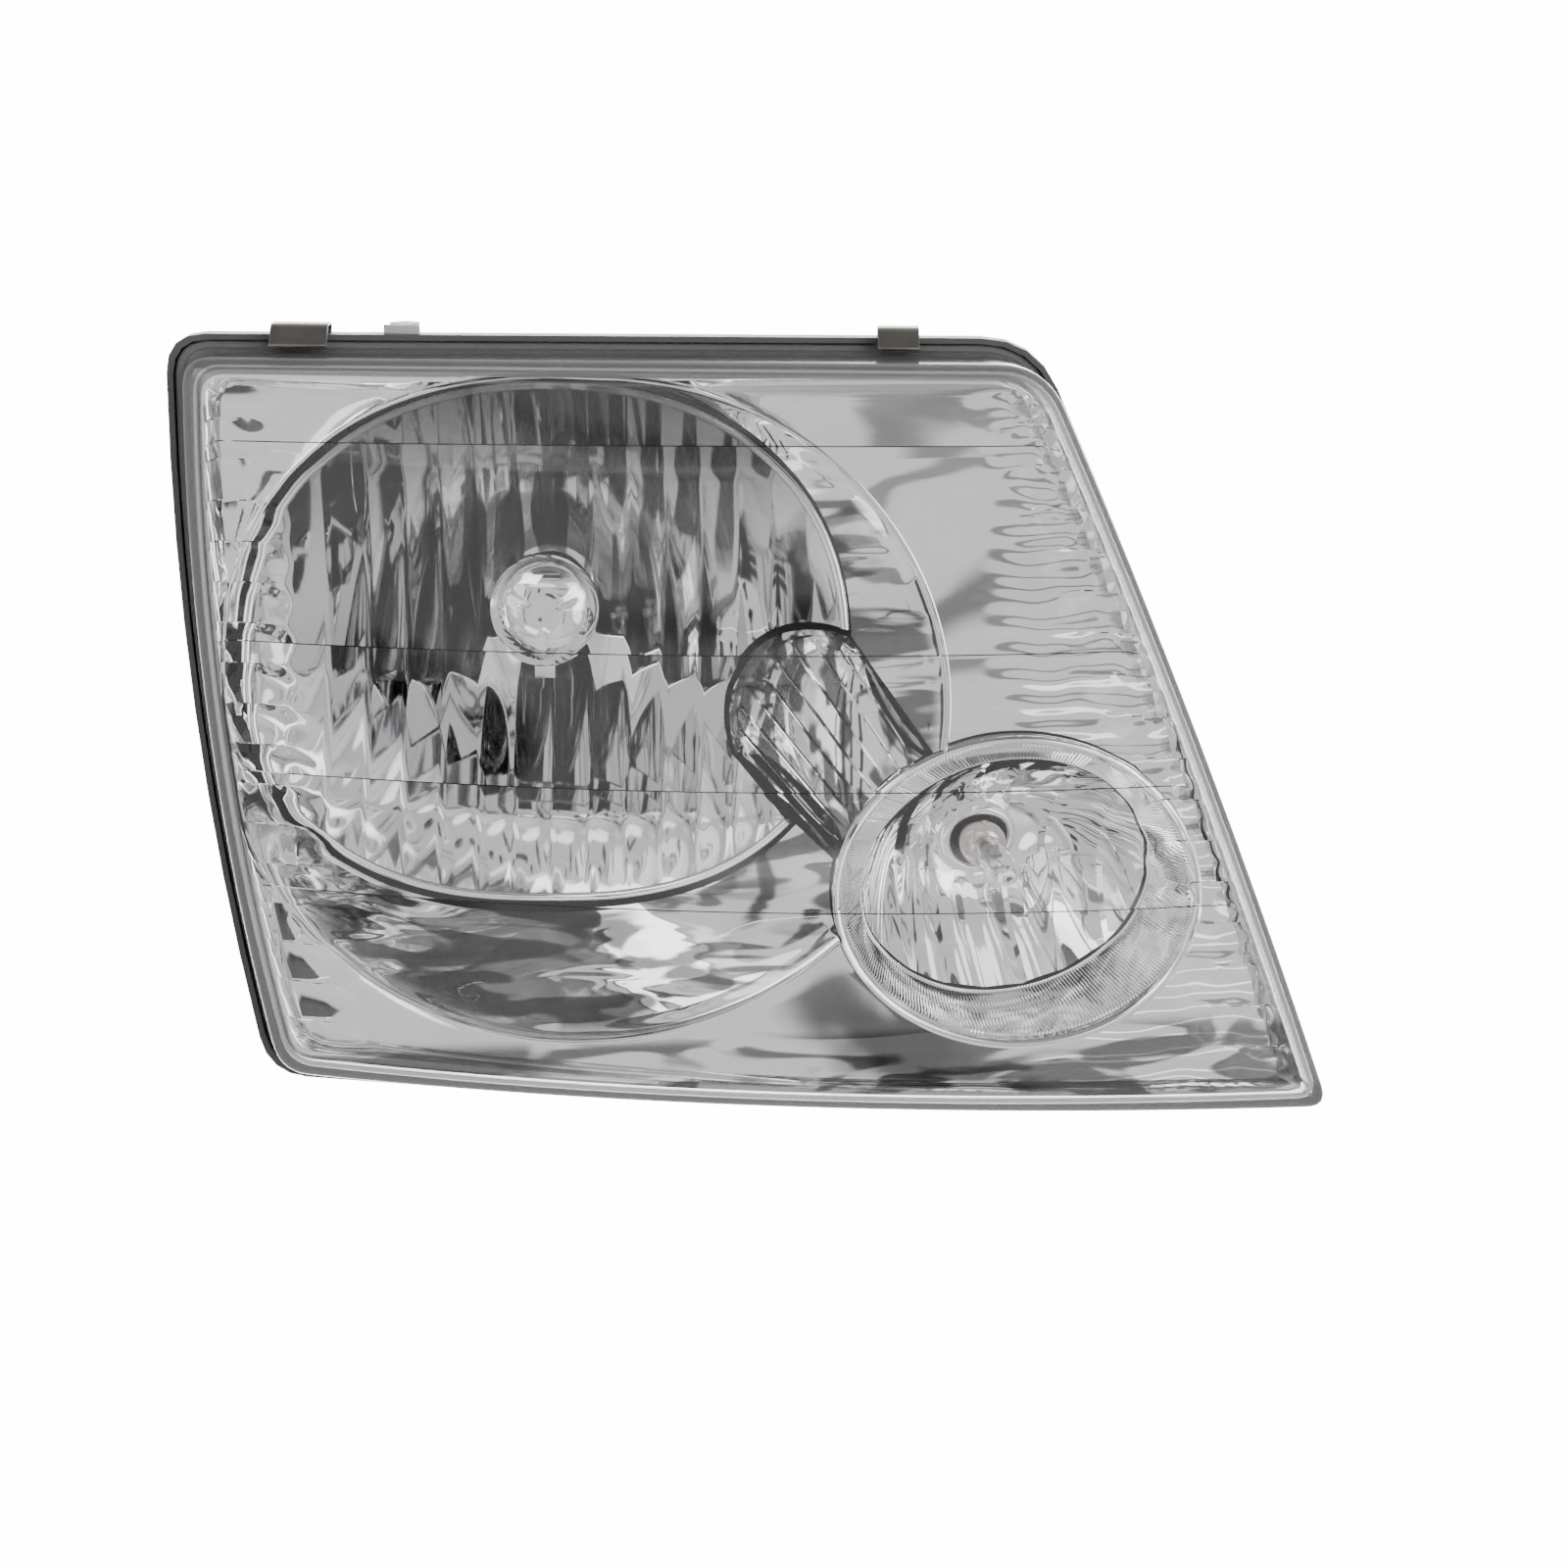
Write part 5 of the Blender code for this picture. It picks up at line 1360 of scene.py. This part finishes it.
def emitter(name, size, location, target, strength, color=(1.0, 1.0, 1.0)):
    """A rectangular area light aimed at a point."""
    data = bpy.data.lights.new(name, "AREA")
    data.shape = "RECTANGLE"
    data.size, data.size_y = size
    data.energy = strength
    data.color = color
    made = bpy.data.objects.new(name, data)
    made.location = location
    made.rotation_euler = (Vector(target) - Vector(location)).to_track_quat("-Z", "Y").to_euler()
    bpy.context.scene.collection.objects.link(made)


def heading(azimuth, elevation):
    """Unit vector from the object: azimuth from straight ahead towards the right, elevation upwards."""
    az, el = radians(azimuth), radians(elevation)
    return Vector((sin(az) * cos(el), -cos(az) * cos(el), sin(el)))


# Soft patches of the tent: azimuth, elevation, half-sizes along X, Y, Z of the unit sphere, edge, strength
TENT = (
    (180, -10, (0.42, 0.5, 0.42), 0.12, 15.0),
    (0, 80, (0.95, 0.75, 0.30), 0.30, 0.20),
    (10, 56, (0.45, 0.26, 0.17), 0.25, 0.05),
    (2, 47, (0.50, 0.30, 0.025), 0.3, 0.9),
    (12, 61, (0.30, 0.30, 0.018), 0.3, 0.8),
    (0, -70, (0.75, 0.8, 0.30), 0.20, 1.3),
    (-42, 12, (0.20, 0.6, 0.45), 0.12, 1.7),
    (52, 4, (0.14, 0.6, 0.50), 0.12, 2.6),
    (-4, 33, (0.34, 0.8, 0.06), 0.2, 2.0),
    (-12, -27, (0.24, 0.8, 0.12), 0.15, 2.6),
    (28, 15, (0.22, 0.4, 0.030), 0.4, 0.25),
    (30, 27, (0.22, 0.4, 0.022), 0.4, 0.30),
    (28, -3, (0.20, 0.4, 0.030), 0.4, 2.4),
    (4, 7, (0.09, 0.5, 0.09), 0.15, 0.03),
    (-8, 19, (0.03, 0.5, 0.12), 0.3, 0.03),
    (-19, 2, (0.035, 0.5, 0.36), 0.3, 0.05),
    (21, -12, (0.03, 0.5, 0.12), 0.3, 0.15),
    (-29, 14, (0.03, 0.5, 0.22), 0.3, 0.15),
    (-36, 2, (0.02, 0.5, 0.30), 0.3, 0.25),
)
TENT_BASE = 0.92


def studio():
    """White tent with brighter and darker soft patches for the chrome to reflect, and two softboxes."""
    world = bpy.data.worlds.new("tent")
    bpy.context.scene.world = world
    world.use_nodes = True
    tree = world.node_tree
    background = tree.nodes["Background"]
    background.inputs["Color"].default_value = (1.0, 0.985, 0.99, 1.0)
    direction = add_node(tree, "ShaderNodeTexCoord").outputs["Generated"]
    strength = TENT_BASE
    for azimuth, elevation, half, edge, value in TENT:
        offset = vector_math(tree, "SUBTRACT", direction, heading(azimuth, elevation))["Vector"]
        scaled = vector_math(tree, "DIVIDE", offset, half)["Vector"]
        size = vector_math(tree, "LENGTH", scaled)["Value"]
        mask = smooth_mask(tree, size, 1.0 + edge, 1.0 - edge)
        feeds = {"A": strength, "B": value, "Factor": mask}
        strength = add_node(tree, "ShaderNodeMix", feeds).outputs["Result"]
    tree.links.new(strength, background.inputs["Strength"])
    emitter("key_softbox", (1.2, 0.8), (-0.7, -1.2, 1.5), CENTRE, 10.0)
    emitter("fill_softbox", (0.9, 1.4), (1.5, -0.9, 0.5), CENTRE, 6.0)


def camera():
    """Camera at the product view: straight on, ten degrees above."""
    data = bpy.data.cameras.new("product_camera")
    data.lens = CAMERA_LENS
    data.sensor_width = 36.0
    made = bpy.data.objects.new("product_camera", data)
    tilt = radians(CAMERA_TILT)
    aim = place(CAMERA_AIM)
    made.location = aim + Vector((0.0, -cos(tilt), sin(tilt))) * CAMERA_DISTANCE
    made.rotation_euler = (aim - made.location).to_track_quat("-Z", "Y").to_euler()
    bpy.context.scene.collection.objects.link(made)
    bpy.context.scene.camera = made


camera()
studio()
finish_cad_nodes()
lens()
lens_tab()
seal()
bezel()
reflector_bowl()
reflector_rim()
reflector_back()
signal_reflector()
signal_shroud()
signal_skirt()
main_bulb()
bulb_shield()
shield_bracket()
signal_bulb()
lens_clips()
rear_boot()
